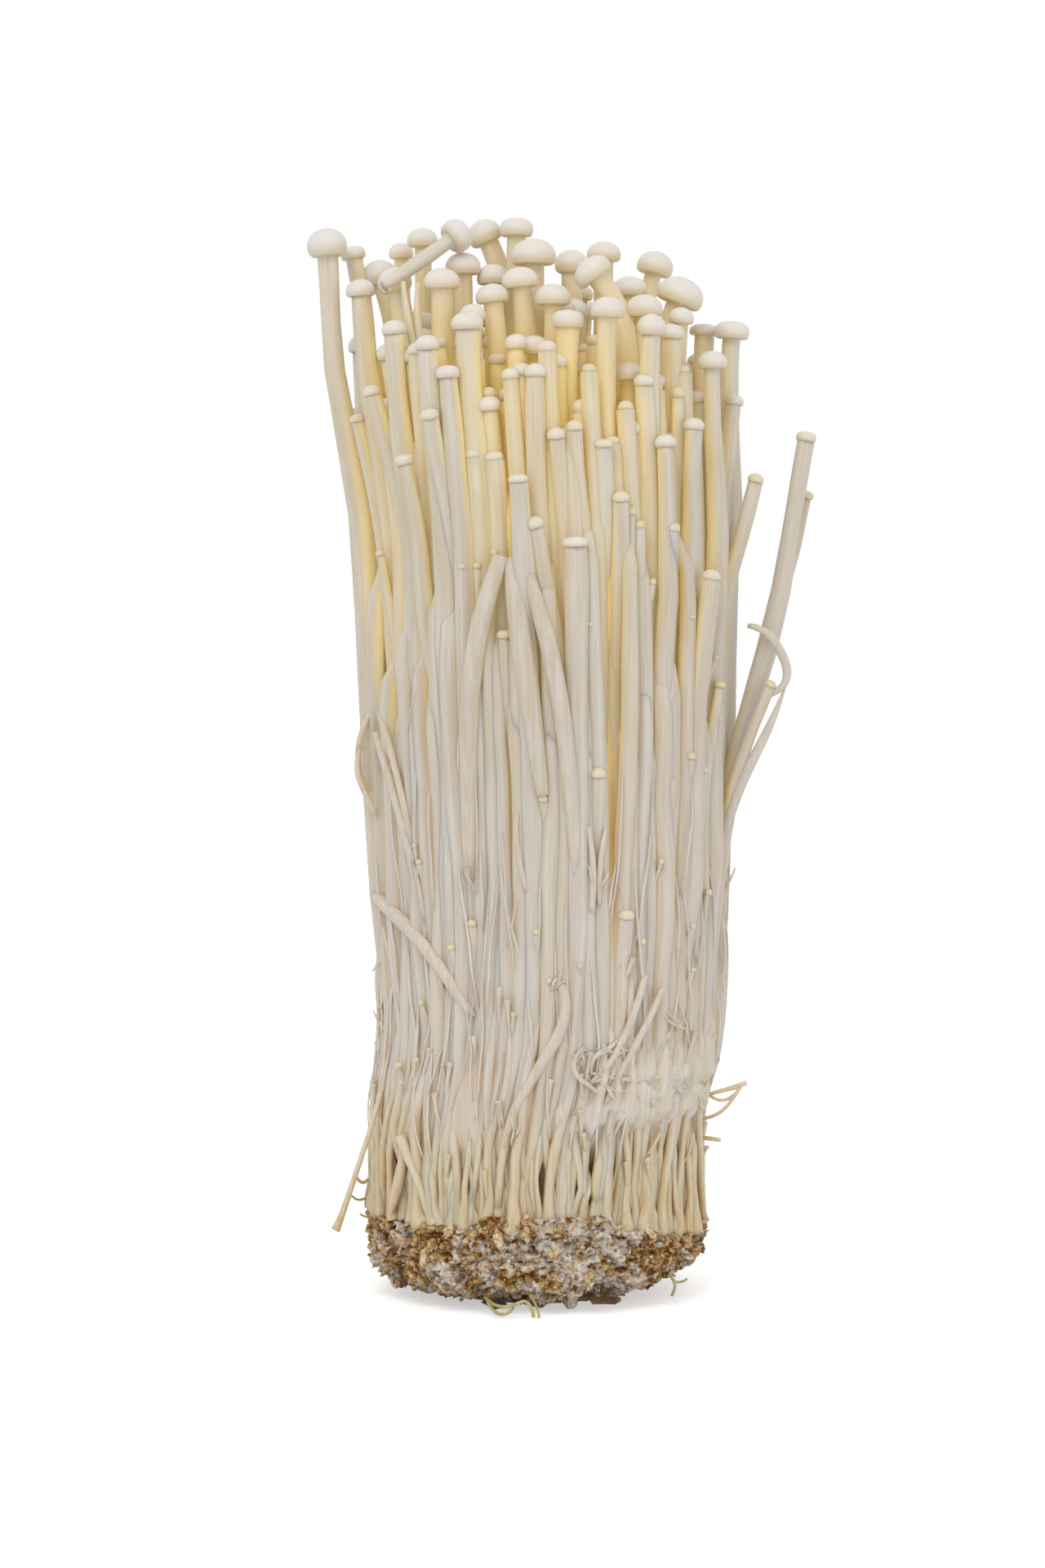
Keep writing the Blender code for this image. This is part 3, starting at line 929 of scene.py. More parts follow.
# The mushrooms that show in front, below the crown.
FRONT = (
    Sprout(-16.8, -24.0, 150.1, 3.8, 3.1),
    Sprout(-22.1, -17.5, 152.8, 3.8, 3.3),
    Sprout(-13.7, -25.5, 145.6, 3.6, 3.0, head=Cap.BUTTON),
    Sprout(-25.7, -16.0, 143.2, 2.7, 2.5, foot_x=-17.5),
    Sprout(-28.3, -8.5, 139.2, 2.3, 2.0),
    Sprout(-16.6, -26.5, 139.1, 2.8, 2.4, head=Cap.BUTTON),
    Sprout(-20.9, -23.0, 132.3, 2.8, 2.4, head=Cap.BUTTON),
    Sprout(-3.2, -21.5, 150.4, 3.8, 3.0),
    Sprout(-0.2, -27.2, 145.7, 3.5, 3.2, foot_x=-5.0),
    Sprout(-2.9, -29.4, 129.2, 3.1, 3.2, head=Cap.FLAT),
    Sprout(-0.5, -29.0, 122.5, 2.9, 2.4, foot_x=4.5),
    Sprout(2.9, -27.8, 136.1, 2.9, 2.4),
    Sprout(5.7, -27.2, 137.3, 2.6, 2.3),
    Sprout(5.8, -28.8, 119.6, 3.7, 3.2, head=Cap.FLAT),
    Sprout(10.2, -26.6, 134.7, 2.8, 2.4, head=Cap.FLAT),
    Sprout(12.9, -26.3, 126.5, 2.7, 2.4),
    Sprout(19.8, -22.8, 135.1, 3.3, 2.8),
    Sprout(24.4, -18.4, 137.9, 3.0, 2.5),
    Sprout(21.0, -23.0, 121.9, 2.3, 2.2, foot_x=15.0),
    Sprout(27.2, -17.6, 114.5, 2.8, 2.9, foot_x=17.5),
    Sprout(34.6, -8.0, 129.8, 2.4, 2.1, via=((26.2, -7.0, 84), (28.6, -7.2, 106), (32.2, -7.8, 120))),
    Sprout(37.0, -8.0, 97.4, 1.9, 1.9, via=((26.0, -7, 42), (27.6, -7.5, 58), (29.2, -8, 70),
                                            (30.8, -8, 79), (33.4, -8, 88))),
    Sprout(43.4, 2.0, 127.4, 2.1, 1.6, via=((27.4, 3, 56), (28.8, 3, 72), (31.8, 2.8, 86),
                                            (40.6, 2.2, 115))),
    Sprout(9.5, -28.0, 84.2, 2.4, 2.1),
    Sprout(13.8, -25.8, 62.3, 2.4, 2.1),
)

# The slender ones among the front stems: across, height, how far sunk, cap, stem, length, head.
SLENDER = (
    (-17.9, 151.5, 9.0, 3.4, 2.6, 60, Cap.DOME), (-13.0, 150.8, 12.0, 3.0, 2.5, 60, Cap.DOME),
    (-7.4, 142.6, 6.0, 2.6, 2.2, 55, Cap.DOME), (-2.4, 146.0, 4.5, 3.0, 2.6, 70, Cap.DOME),
    (25.6, 139.2, 3.0, 2.7, 2.3, 60, Cap.DOME), (29.0, 137.1, 1.2, 2.0, 1.6, 60, Cap.DOME),
    (21.9, 142.8, 2.5, 2.1, 1.7, 60, Cap.BALL), (12.0, 134.9, 4.0, 2.2, 1.9, 55, Cap.DOME),
    (7.1, 146.6, 12.0, 2.8, 2.4, 50, Cap.DOME), (13.1, 141.6, 11.0, 2.3, 2.0, 50, Cap.DOME),
    (8.9, 151.1, 13.0, 2.6, 2.3, 50, Cap.DOME), (14.5, 124.3, 1.4, 2.0, 1.8, 50, Cap.DOME),
    (15.8, 122.3, 1.2, 1.9, 1.8, 55, Cap.DOME), (30.2, 122.5, 0.6, 0.9, 0.8, 20, Cap.BALL),
    (24.0, 108.2, 0.4, 1.7, 1.5, 45, Cap.DOME), (8.3, 107.0, 0.2, 1.0, 0.9, 28, Cap.BALL),
    (28.0, 101.7, -0.2, 0.8, 0.7, 22, Cap.BALL), (31.0, 97.5, -3.5, 1.8, 1.5, 50, Cap.BUTTON),
    (-5.0, 105.5, 0.3, 2.2, 1.9, 55, Cap.BUTTON), (-11.5, 116.0, 0.9, 2.0, 1.6, 45, Cap.BUTTON),
    (-9.2, 116.0, 2.0, 1.4, 1.2, 40, Cap.DOME), (-6.5, 118.0, 2.6, 1.1, 1.0, 40, Cap.DOME),
    (-26.6, 94.2, -0.2, 1.5, 1.4, 50, Cap.BUTTON), (-10.1, 76.4, 0.2, 1.6, 1.4, 40, Cap.DOME),
    (-10.0, 60.9, -0.1, 1.4, 1.3, 36, Cap.BALL), (-13.2, 57.0, -0.1, 1.2, 1.0, 30, Cap.BALL),
    (0.0, 59.8, 0.0, 1.3, 1.2, 36, Cap.BALL), (-19.0, 72.5, 0.0, 1.0, 0.9, 26, Cap.BALL),
    (-18.3, 70.0, -0.1, 1.0, 0.9, 26, Cap.BALL), (24.0, 86.5, 0.2, 1.7, 1.5, 45, Cap.DOME),
    (26.2, 84.2, 0.0, 1.5, 1.3, 40, Cap.DOME), (27.0, 64.9, -0.2, 1.3, 1.0, 24, Cap.BALL),
    (-18.0, 48.0, -0.2, 1.0, 0.7, 22, Cap.BALL), (-21.8, 37.7, -0.4, 1.1, 0.6, 14, Cap.BALL),
    (-15.0, 52.0, -0.2, 1.0, 0.8, 22, Cap.BARE), (-9.8, 43.3, -0.4, 1.0, 0.9, 20, Cap.BARE),
    (-5.8, 51.0, -0.3, 0.9, 0.8, 24, Cap.BARE), (-18.9, 39.0, -0.4, 0.9, 0.6, 14, Cap.BALL),
    (24.5, 53.0, -0.3, 0.9, 0.8, 22, Cap.BALL), (22.3, 44.4, -0.4, 0.8, 0.7, 18, Cap.BALL),
    (20.8, 96.4, -0.1, 1.2, 1.5, 50, Cap.BARE), (21.0, 82.8, -0.3, 1.4, 1.8, 45, Cap.BARE),
    (16.4, 58.0, -0.3, 1.1, 1.0, 30, Cap.BALL), (-24.6, 118.0, 1.0, 1.6, 1.4, 40, Cap.DOME),
    (17.9, 113.5, 1.0, 1.2, 1.1, 40, Cap.BALL), (-14.3, 104.0, 0.2, 1.1, 1.0, 34, Cap.BARE),
    (0.9, 80.4, -0.6, 1.4, 1.1, 30, Cap.BALL), (28.6, 92.1, -0.3, 0.9, 0.8, 20, Cap.BALL),
    (24.4, 59.8, -0.3, 0.9, 0.8, 20, Cap.BALL), (19.3, 70.3, -0.3, 0.8, 0.7, 18, Cap.BALL),
    (14.5, 44.4, -0.3, 0.8, 0.7, 16, Cap.BALL), (1.9, 52.3, -0.3, 0.9, 0.8, 18, Cap.BALL),
)


@dataclass
class MushroomForm:
    """A straight mushroom of unit size, modelled once. Each copy is bent and sized along its own route.

    The stem runs from height 0 to 1 with a radius of 1. The cap's rings stand at 2 plus their place
    in cap widths, with their radius in cap radii.
    """

    bundle: Bundle
    head: Cap
    sides: int
    stem_rings: tuple[float, ...]
    unit: np.ndarray = field(init=False)
    mesh: Mesh = field(init=False)

    CAP_LEVEL = 2.0
    NECK_LEVEL = 1.2
    LAST_STEM_LEVEL = 0.985
    NEAR = 0.02
    HEADS = {
        Cap.DOME: ((-0.235, 0.66), (-0.285, 0.84), (-0.245, 0.97), (-0.13, 1.03), (0.01, 1.0), (0.13, 0.88),
                   (0.235, 0.66), (0.30, 0.36), (0.322, 0.10)),
        Cap.BUTTON: ((-0.225, 0.70), (-0.265, 0.88), (-0.215, 1.0), (-0.08, 1.05), (0.07, 1.01), (0.18, 0.86),
                     (0.245, 0.60), (0.275, 0.30), (0.282, 0.08)),
        Cap.FLAT: ((-0.17, 0.72), (-0.20, 0.90), (-0.155, 1.02), (-0.05, 1.05), (0.06, 0.99), (0.14, 0.80),
                   (0.185, 0.52), (0.205, 0.24), (0.21, 0.07)),
        Cap.BALL: ((-0.30, 0.62), (-0.335, 0.76), (-0.27, 0.93), (-0.12, 1.02), (0.04, 1.01), (0.19, 0.88),
                   (0.31, 0.64), (0.385, 0.34), (0.408, 0.10)),
        Cap.BARE: ((-0.10, 0.80), (0.02, 0.70), (0.12, 0.50), (0.19, 0.26), (0.21, 0.08)),
    }

    def __post_init__(self) -> None:
        """Model the unit mushroom: a disc extruded up the stem and out over the cap."""
        rings = [(share, 1.0) for share in self.stem_rings[1:]]
        rings += [(self.CAP_LEVEL + drop, reach) for drop, reach in self.HEADS[self.head]]
        self.mesh = lifted(turned(self.sides, rings))
        self.unit = points_of(self.mesh)

    def grow(self, sprout: Sprout, start_z: float | None, draw: random.Random) -> Model:
        """Grow one mushroom from the form.

        Args:
            sprout: Its place and sizes.
            start_z: The height it starts at where its lower stem is out of sight, or None for its foot.
            draw: The seeded draw for its bow, its girth and its tone.

        Returns:
            The grown mushroom.
        """
        foot = self.bundle.foot_of(sprout)
        sway = (draw.uniform(-0.45, 0.45), draw.uniform(-0.45, 0.45))
        rise = sprout.z - foot.z
        tip = self.bundle.centre(sprout, foot, sway, 1.0)
        axis = (tip - self.bundle.centre(sprout, foot, sway, 1.0 - 2.5 / rise)).normalized()
        neck = 1.0 + self.HEADS[self.head][0][0] * sprout.cap / rise
        first = 0.0 if start_z is None else clamped((start_z - foot.z) / rise)
        wave, turn = draw.uniform(0, 100), draw.uniform(0, math.tau)
        oval = 1.0 + draw.uniform(-0.07, 0.07)
        points = np.empty_like(self.unit)
        grain = np.empty_like(self.unit)
        levels = self.unit[:, 2]
        for level in np.unique(levels):
            on_ring = levels == level
            ring = self.unit[on_ring]
            angles = np.arctan2(ring[:, 1], ring[:, 0])
            if level < self.NECK_LEVEL:
                share = first + (neck - first) * level
                along_mm = share * rise
                centre = self.bundle.centre(sprout, foot, sway, share)
                centre += self.wobble(wave, foot.z + along_mm, share)
                ahead = self.bundle.centre(sprout, foot, sway, min(share + self.NEAR, 1.0))
                behind = self.bundle.centre(sprout, foot, sway, max(share - self.NEAR, 0.0))
                along = axis if level > self.LAST_STEM_LEVEL else (ahead - behind).normalized()
                size = sprout.stem / 2 * self.thickness(share, rise)
                bumps = 1.0 + 0.16 * noise.noise(Vector((wave, 0.0, along_mm / 12.0)))
                twist = turn + 3.0 * noise.noise(Vector((wave, 3.0, along_mm / 30.0)))
                lobes = 1.0 + 0.05 * np.cos(3 * angles + twist) + 0.07 * np.cos(2 * angles + twist)
                reach = size * bumps * lobes
            else:
                along_mm = rise + sprout.cap * (level - self.CAP_LEVEL)
                centre = tip + axis * sprout.cap * (level - self.CAP_LEVEL)
                along = axis
                lobes = 1.0 + 0.028 * np.cos(2 * angles + turn) + 0.014 * np.cos(5 * angles + wave)
                width = sprout.stem * 0.94 if self.head is Cap.BARE else sprout.cap
                reach = width / 2 * lobes
            across = Vector((0, 1, 0)).cross(along).normalized()
            local = ring[:, :2] * reach[:, None]
            local[:, 0] *= oval
            points[on_ring] = np.array(centre) + local @ np.array([across, along.cross(across)])
            grain[on_ring, :2] = local
            grain[on_ring, 2] = along_mm
        mesh = self.mesh.copy()
        place_points(mesh, points * MM)
        grain[:, 0] += wave
        store(mesh, "grain", grain * MM)
        store(mesh, "tone", self.tone(sprout, points, draw.random()))
        return linked("mushroom", mesh)

    @staticmethod
    def wobble(wave: float, z: float, share: float) -> Vector:
        """How far a stem strays from its even line, with its two ends held.

        Args:
            wave: Where the stem's own pattern starts.
            z: The height, in millimetres.
            share: How far up the stem.

        Returns:
            The stray, in millimetres.
        """
        held = math.sin(math.pi * clamped(share))
        low = clamped((z - 14.0) / 5.0) * (1.0 - smooth((z - 22.0) / 26.0))
        across = 1.1 * noise.noise(Vector((wave, 0.0, z / 27.0)))
        across += 0.36 * noise.noise(Vector((wave, 5.0, z / 9.0)))
        deep = 0.5 * noise.noise(Vector((wave, 9.0, z / 20.0)))
        kinks = 1.7 * noise.noise(Vector((wave, 7.0, z / 8.0))) * low
        return Vector((across * held + kinks, deep * held, 0.0))

    def thickness(self, share: float, rise: float) -> float:
        """Thickness along a stem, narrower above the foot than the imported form, with a flared foot.

        Args:
            share: How far up the stem.
            rise: How tall the mushroom is, in millimetres.

        Returns:
            The thickness, as a share of the stem's own.
        """
        from_foot = share * rise
        waist = 0.26 * (1.0 - smooth(from_foot / 34.0))
        flare = 0.42 * math.exp(-((from_foot / 1.7) ** 2))
        return self.bundle.girth(share) - waist + flare

    def tone(self, sprout: Sprout, points: np.ndarray, chance: float) -> np.ndarray:
        """Work out the tone of each vertex.

        Args:
            sprout: The mushroom.
            points: Its points in millimetres.
            chance: A draw that is the same all over the mushroom.

        Returns:
            Rows of head, depth, chance and smallness; depth is the share of painted warm gap shade.
        """
        levels = self.unit[:, 2]
        head = np.clip((levels - 1.76) / 0.35, 0.0, 0.7) + 0.3
        head = np.where((levels > self.NECK_LEVEL) & (self.head is not Cap.BARE), head, 0.0)
        outward = points[:, :2] - np.array([(self.bundle.bulge(z), 0.0) for z in points[:, 2]])
        radius = np.maximum(np.linalg.norm(outward, axis=1), 0.01)
        facing = np.ones_like(levels)
        for level in np.unique(levels):
            on_ring = levels == level
            spokes = points[on_ring, :2] - points[on_ring, :2].mean(axis=0)
            reach = np.maximum(np.linalg.norm(spokes, axis=1), 0.01)
            facing[on_ring] = np.sum(spokes * outward[on_ring], axis=1) / (reach * radius[on_ring])
        # Depth is painted shade: stems deep inside the bunch and the sides that face the gaps take the warm
        # gap colour, less on the caps and at the top of the crown.
        outside = np.array([self.bundle.packed_radius(z) for z in points[:, 2]])
        top = np.clip((points[:, 2] - (166.0 - 0.012 * (points[:, 0] + 5) ** 2) + 22.0) / 16.0, 0.0, 1.0)
        inside = np.clip((outside - radius - 1.6) / 6.0, 0.0, 1.0)
        walls = np.clip((0.62 - facing) / 0.70, 0.0, 1.0) * np.clip((outside + 1.2 - radius) / 1.6, 0.0, 1.0)
        bare = np.minimum(head / 0.7, 1.0)
        depth = np.clip(inside * (1.0 - 0.85 * bare) + 0.8 * walls * (1.0 - 0.95 * bare), 0.0, 1.0)
        depth *= 1.0 - 0.6 * top
        small = clamped((3.4 - sprout.cap) / 1.4)
        return np.stack([head, depth, np.full_like(head, chance), np.full_like(head, small)], axis=1)


def spiral(count: int, radius: float) -> Iterator[tuple[float, float]]:
    """Spread places evenly over a disc.

    Args:
        count: How many places.
        radius: The disc's radius.

    Yields:
        How far out each place is, and its angle.
    """
    for i in range(count):
        yield radius * math.sqrt((i + 0.5) / count), i * math.pi * (3 - math.sqrt(5))


@dataclass
class Cluster:
    """All the mushrooms of the bunch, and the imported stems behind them."""

    bundle: Bundle
    flesh: Material
    back_count: int = 33
    inner_count: int = 74
    inner_radius: float = 25.5
    inner_spacing: float = 3.9
    packing_count: int = 96
    fill_count: int = 120
    fill_radius: float = 26.0
    hidden_below: float = 95.0
    core_levels: tuple[float, ...] = (9.4, 13.6, 17.0, 22.0, 30.0, 42.0, 56.0, 70.0, 84.0, 98.0, 108.0, 114.0)
    flutes: int = 54
    core_sunk: float = 4.4
    core_foot: float = 19.0
    core_crumpled: float = 100.0
    second_sunk: float = 4.6
    hidden_sunk: float = 5.5
    fine_rings: tuple[float, ...] = (0.0, 0.012, 0.03, 0.05, 0.075, 0.105, 0.14, 0.18, 0.24, 0.33, 0.43, 0.53,
                                     0.63, 0.73, 0.81, 0.88, 0.93, 0.965, 0.988, 1.0)
    plain_rings: tuple[float, ...] = (0.0, 0.04, 0.15, 0.32, 0.5, 0.68, 0.84, 0.94, 1.0)
    forms: dict[tuple[Cap, bool], MushroomForm] = field(default_factory=dict)

    def form(self, head: Cap, fine: bool) -> MushroomForm:
        """Give the form of a kind of head, modelled when it is first asked for.

        Args:
            head: The kind of head.
            fine: Whether the mushroom is seen from close by.

        Returns:
            The form.
        """
        if (head, fine) not in self.forms:
            sides, rings = (18, self.fine_rings) if fine else (10, self.plain_rings)
            self.forms[head, fine] = MushroomForm(self.bundle, head, sides, rings)
        return self.forms[head, fine]

    def back_row(self) -> list[Sprout]:
        """Draw the mushrooms round the back, of every height.

        Returns:
            The mushrooms.
        """
        draw = random.Random(SEED)
        row = []
        for i in range(self.back_count):
            angle = math.radians(188 * (i + 0.5) / self.back_count - 4 + draw.uniform(-1.5, 1.5))
            z = draw.choice((88, 104, 118, 128, 136, 143, 148, 152)) + draw.uniform(-4, 4)
            cap = 1.9 + 2.6 * clamped((z - 95) / 55) + draw.uniform(-0.2, 0.4)
            place = self.bundle.around(angle, z, -1.5 + draw.uniform(-0.4, 0.5))
            row.append(Sprout(*place, cap, min(cap * 0.85, 3.3)))
        return row

    def inner(self, taken: Sequence[Sprout]) -> list[Sprout]:
        """Draw the mushrooms over the rest of the crown, on an even spiral.

        Args:
            taken: The mushrooms whose places are left out.

        Returns:
            The mushrooms.
        """
        draw = random.Random(SEED + 1)
        made = []
        for reach, angle in spiral(self.inner_count, self.inner_radius):
            x = reach * math.cos(angle) + draw.uniform(-0.6, 0.6)
            y = reach * math.sin(angle) + draw.uniform(-0.6, 0.6)
            z = 161.5 - 0.0125 * (x + 6) ** 2 - 0.010 * y * y + draw.uniform(-5.0, 3.0)
            z -= 9.0 * clamped((-4.0 - y) / 8.0)
            cap = draw.uniform(3.8, 5.6)
            if all(math.hypot(x - other.x, y - other.y) > self.inner_spacing for other in taken):
                made.append(Sprout(x, y, z, cap, cap * 0.58))
        return made

    def inner_fill(self) -> list[Sprout]:
        """Draw the shorter mushrooms that stand between the inner ones.

        Returns:
            The mushrooms.
        """
        draw = random.Random(SEED + 17)
        made = []
        for reach, angle in spiral(self.fill_count, self.fill_radius):
            x, y = reach * math.cos(angle + 1.0), reach * math.sin(angle + 1.0)
            z = 150.0 - 0.010 * (x + 6) ** 2 - 0.009 * y * y + draw.uniform(-5.0, 4.0)
            cap, stem = draw.uniform(2.6, 3.6), draw.uniform(2.5, 3.1)
            made.append(Sprout(x, y, z, cap, stem, head=draw.choice((Cap.DOME, Cap.BUTTON, Cap.BALL))))
        return made

    def slender(self) -> list[Sprout]:
        """Place the slender mushrooms of the front.

        Returns:
            The mushrooms.
        """
        made = []
        for x, z, sunk, cap, stem, length, head in SLENDER:
            y = self.bundle.front_y(x, z, sunk + stem / 2)
            made.append(Sprout(x, y, z, cap, stem, head=head, length=length))
        return made

    def second_row(self) -> list[Sprout]:
        """Draw an even ring of mushrooms behind the outer ones.

        Returns:
            The mushrooms.
        """
        draw = random.Random(SEED + 15)
        made = []
        for i in range(self.flutes):
            angle = math.tau * i / self.flutes + draw.uniform(-0.02, 0.02)
            z = draw.uniform(130.0, 150.0)
            place = self.bundle.around(angle, z, -self.second_sunk + draw.uniform(-0.5, 0.5))
            cap = draw.uniform(2.0, 3.6)
            made.append(Sprout(*place, cap, 3.0, head=draw.choice((Cap.DOME, Cap.BUTTON, Cap.DOME))))
        return made

    def packing(self) -> list[Sprout]:
        """Draw the stems that fill the gaps between the outer ones, with their tops tucked inside.

        Returns:
            The stems, as mushrooms without a cap.
        """
        draw = random.Random(SEED + 16)
        made = []
        for i in range(self.packing_count):
            angle = math.tau * (i + draw.uniform(-0.3, 0.3)) / self.packing_count
            drift, sunk, top = draw.uniform(-0.08, 0.08), draw.uniform(1.7, 2.9), draw.uniform(92.0, 126.0)
            marks = []
            for z in (22.0, 36.0, 52.0, 68.0, 80.0, top - 7.0, top):
                turn = angle + drift * z / 100.0 + draw.uniform(-0.008, 0.008)
                marks.append(self.bundle.around(turn, z, -sunk - (4.5 if z == top else 0.0)))
            stem = draw.uniform(2.0, 2.9)
            made.append(Sprout(*marks[-1], 1.0, stem, via=tuple(marks[:-1]), head=Cap.BARE))
        return made

    def pieces(self, name: str, sprouts: Iterable[Sprout], fine: bool, start_z: float | None,
               seed: int) -> None:
        """Grow some mushrooms and hand them over as one piece.

        Args:
            name: The piece's name.
            sprouts: The mushrooms.
            fine: Whether they are seen from close by.
            start_z: The height that inner ones start at.
            seed: The seed of their draws.
        """
        draw = random.Random(seed)
        grown = []
        for sprout in sprouts:
            reach = self.bundle.centred((sprout.x, sprout.y, sprout.z)).xy.length
            deep = reach < self.bundle.packed_radius(sprout.z) - self.hidden_sunk and not sprout.via
            start = start_z if deep else None
            grown.append(self.form(sprout.head, fine).grow(sprout, start, draw))
        piece = joined(grown, name)
        hand_over(piece, Slot.MUSHROOM, self.flesh, "mushroom_cluster")

    def core(self) -> None:
        """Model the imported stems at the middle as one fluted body, which closes the view through."""
        base = self.core_levels[0]
        made = turned(6 * self.flutes, [(level - base, 1.0) for level in self.core_levels[1:]])
        points = points_of(made.data)
        for row in points:
            (x, y), z = row[:2], row[2] + base
            angle = math.atan2(y, x)
            swing = 0.6 * math.sin(z / 23.0) + 1.1 * math.sin(3 * angle)
            flute = abs(math.sin(self.flutes / 2 * angle + swing))
            radius = self.bundle.packed_radius(z) - self.core_sunk - 2.2 * clamped((24.0 - z) / 6.0)
            radius -= 1.5 * (1.0 - flute)
            if z < 14.0:
                radius = self.core_foot
            if z > self.core_crumpled:
                rise = clamped((z - self.core_crumpled) / 10.0)
                z -= 12.0 * noise.noise(Vector((5 * x, 5 * y, 0.0))) * rise
            row[:] = (radius * math.cos(angle) + self.bundle.bulge(z), radius * math.sin(angle), z)
        place_points(made.data, points * MM)
        store(made.data, "grain", points * MM)
        # The core lies deep inside, so it takes the full painted gap shade and the painted glow above the
        # feet.
        store(made.data, "tone", np.tile((0.0, 1.0, 0.5, 0.0), (len(points), 1)))
        made.name = "packed_stems"
        hand_over(made, Slot.MUSHROOM, self.flesh, "mushroom_cluster")

    def build(self) -> None:
        """Grow the whole bunch."""
        back = self.back_row()
        inner = self.inner([*CROWN, *FRONT, *back])
        self.pieces("crown_mushrooms", CROWN, True, self.hidden_below, SEED + 10)
        self.pieces("front_mushrooms", FRONT, True, None, SEED + 11)
        self.pieces("slender_mushrooms", self.slender(), False, None, SEED + 12)
        self.pieces("back_mushrooms", back, False, None, SEED + 13)
        self.pieces("inner_mushrooms", inner, False, self.hidden_below, SEED + 14)
        self.pieces("second_row", self.second_row(), False, None, SEED + 15)
        self.pieces("inner_fill", self.inner_fill(), False, self.hidden_below, SEED + 17)
        self.pieces("packing_stems", self.packing(), True, None, SEED + 16)
        self.core()


@dataclass
class BrokenMushroom:
    """The mushroom that broke off and lies across the caps."""

    flesh: Material
    end: Point = (-23.8, -12.2, 159.6)
    cap: Point = (-12.4, -7.3, 168.0)
    cap_width: float = 5.3
    HEAD = ((-0.30, 0.62), (-0.335, 0.76), (-0.27, 0.93), (-0.12, 1.02), (0.04, 1.01), (0.19, 0.88),
            (0.30, 0.62), (0.355, 0.34), (0.37, 0.10))

    def build(self) -> None:
        """Model the broken mushroom lying along its line."""
        end, middle = Vector(self.end), Vector(self.cap)
        axis = (middle - end).normalized()
        length = (middle - end).length
        rings = [(0.2, 0.36), (0.8, 0.60), (2.2, 0.92), (4.6, 1.16), (8.5, 1.22), (length - 2.2, 1.12)]
        rings += [(length + drop * self.cap_width, reach * self.cap_width / 2) for drop, reach in self.HEAD]
        made = turned(18, rings)
        unit = points_of(made.data)
        across = Vector((0, 1, 0)).cross(axis).normalized()
        place_points(made.data, (np.array(end) + unit @ np.array([across, axis.cross(across), axis])) * MM)
        head = np.clip((unit[:, 2] - length + 0.28 * self.cap_width) / 1.5, 0.0, 0.7) + 0.3
        tone = np.tile((0.0, 0.0, 0.3, 0.0), (len(unit), 1))
        tone[:, 0] = np.where(unit[:, 2] > length - 1.7, head, 0.0)
        store(made.data, "grain", unit * MM)
        store(made.data, "tone", tone)
        made.name = "broken_off_mushroom"
        hand_over(made, Slot.MUSHROOM, self.flesh, "broken_mushroom")


# ---- Fibres, torn strips and film above the feet ----


def strand_piece(name: str, strands: Iterable[Sequence[Mark]], roundness: int, flat: float = 0.0) -> Model:
    """Model thin stems, fibres or threads as smooth tubes in one mesh.

    Args:
        name: The piece's name.
        strands: For each tube, the places that it goes through with its radius there, in millimetres.
        roundness: How round the tubes are.
        flat: Half the extra width that makes each tube a ribbon, in millimetres.

    Returns:
        The mesh object.
    """
    deselect()
    bpy.ops.curve.primitive_nurbs_path_add(location=(0, 0, 0))
    curve = bpy.context.object.data
    curve.splines.clear()
    for marks in strands:
        spline = curve.splines.new("NURBS")
        spline.points.add(len(marks) - 1)
        for point, (x, y, z, radius) in zip(spline.points, marks):
            point.co = (x * MM, y * MM, z * MM, 1.0)
            point.radius = radius
        spline.order_u = min(4, len(marks))
        spline.use_endpoint_u = True
    curve.dimensions = "3D"
    curve.resolution_u = 5
    curve.bevel_depth = MM
    curve.bevel_resolution = roundness
    curve.extrude = flat * MM
    curve.use_fill_caps = True
    bpy.ops.object.convert(target="MESH")
    piece = bpy.context.object
    bpy.ops.object.mode_set(mode="EDIT")
    bpy.ops.mesh.select_all(action="SELECT")
    bpy.ops.mesh.remove_doubles(threshold=0.000005)
    piece.name = name
    piece.data.name = name
    return settled(piece)


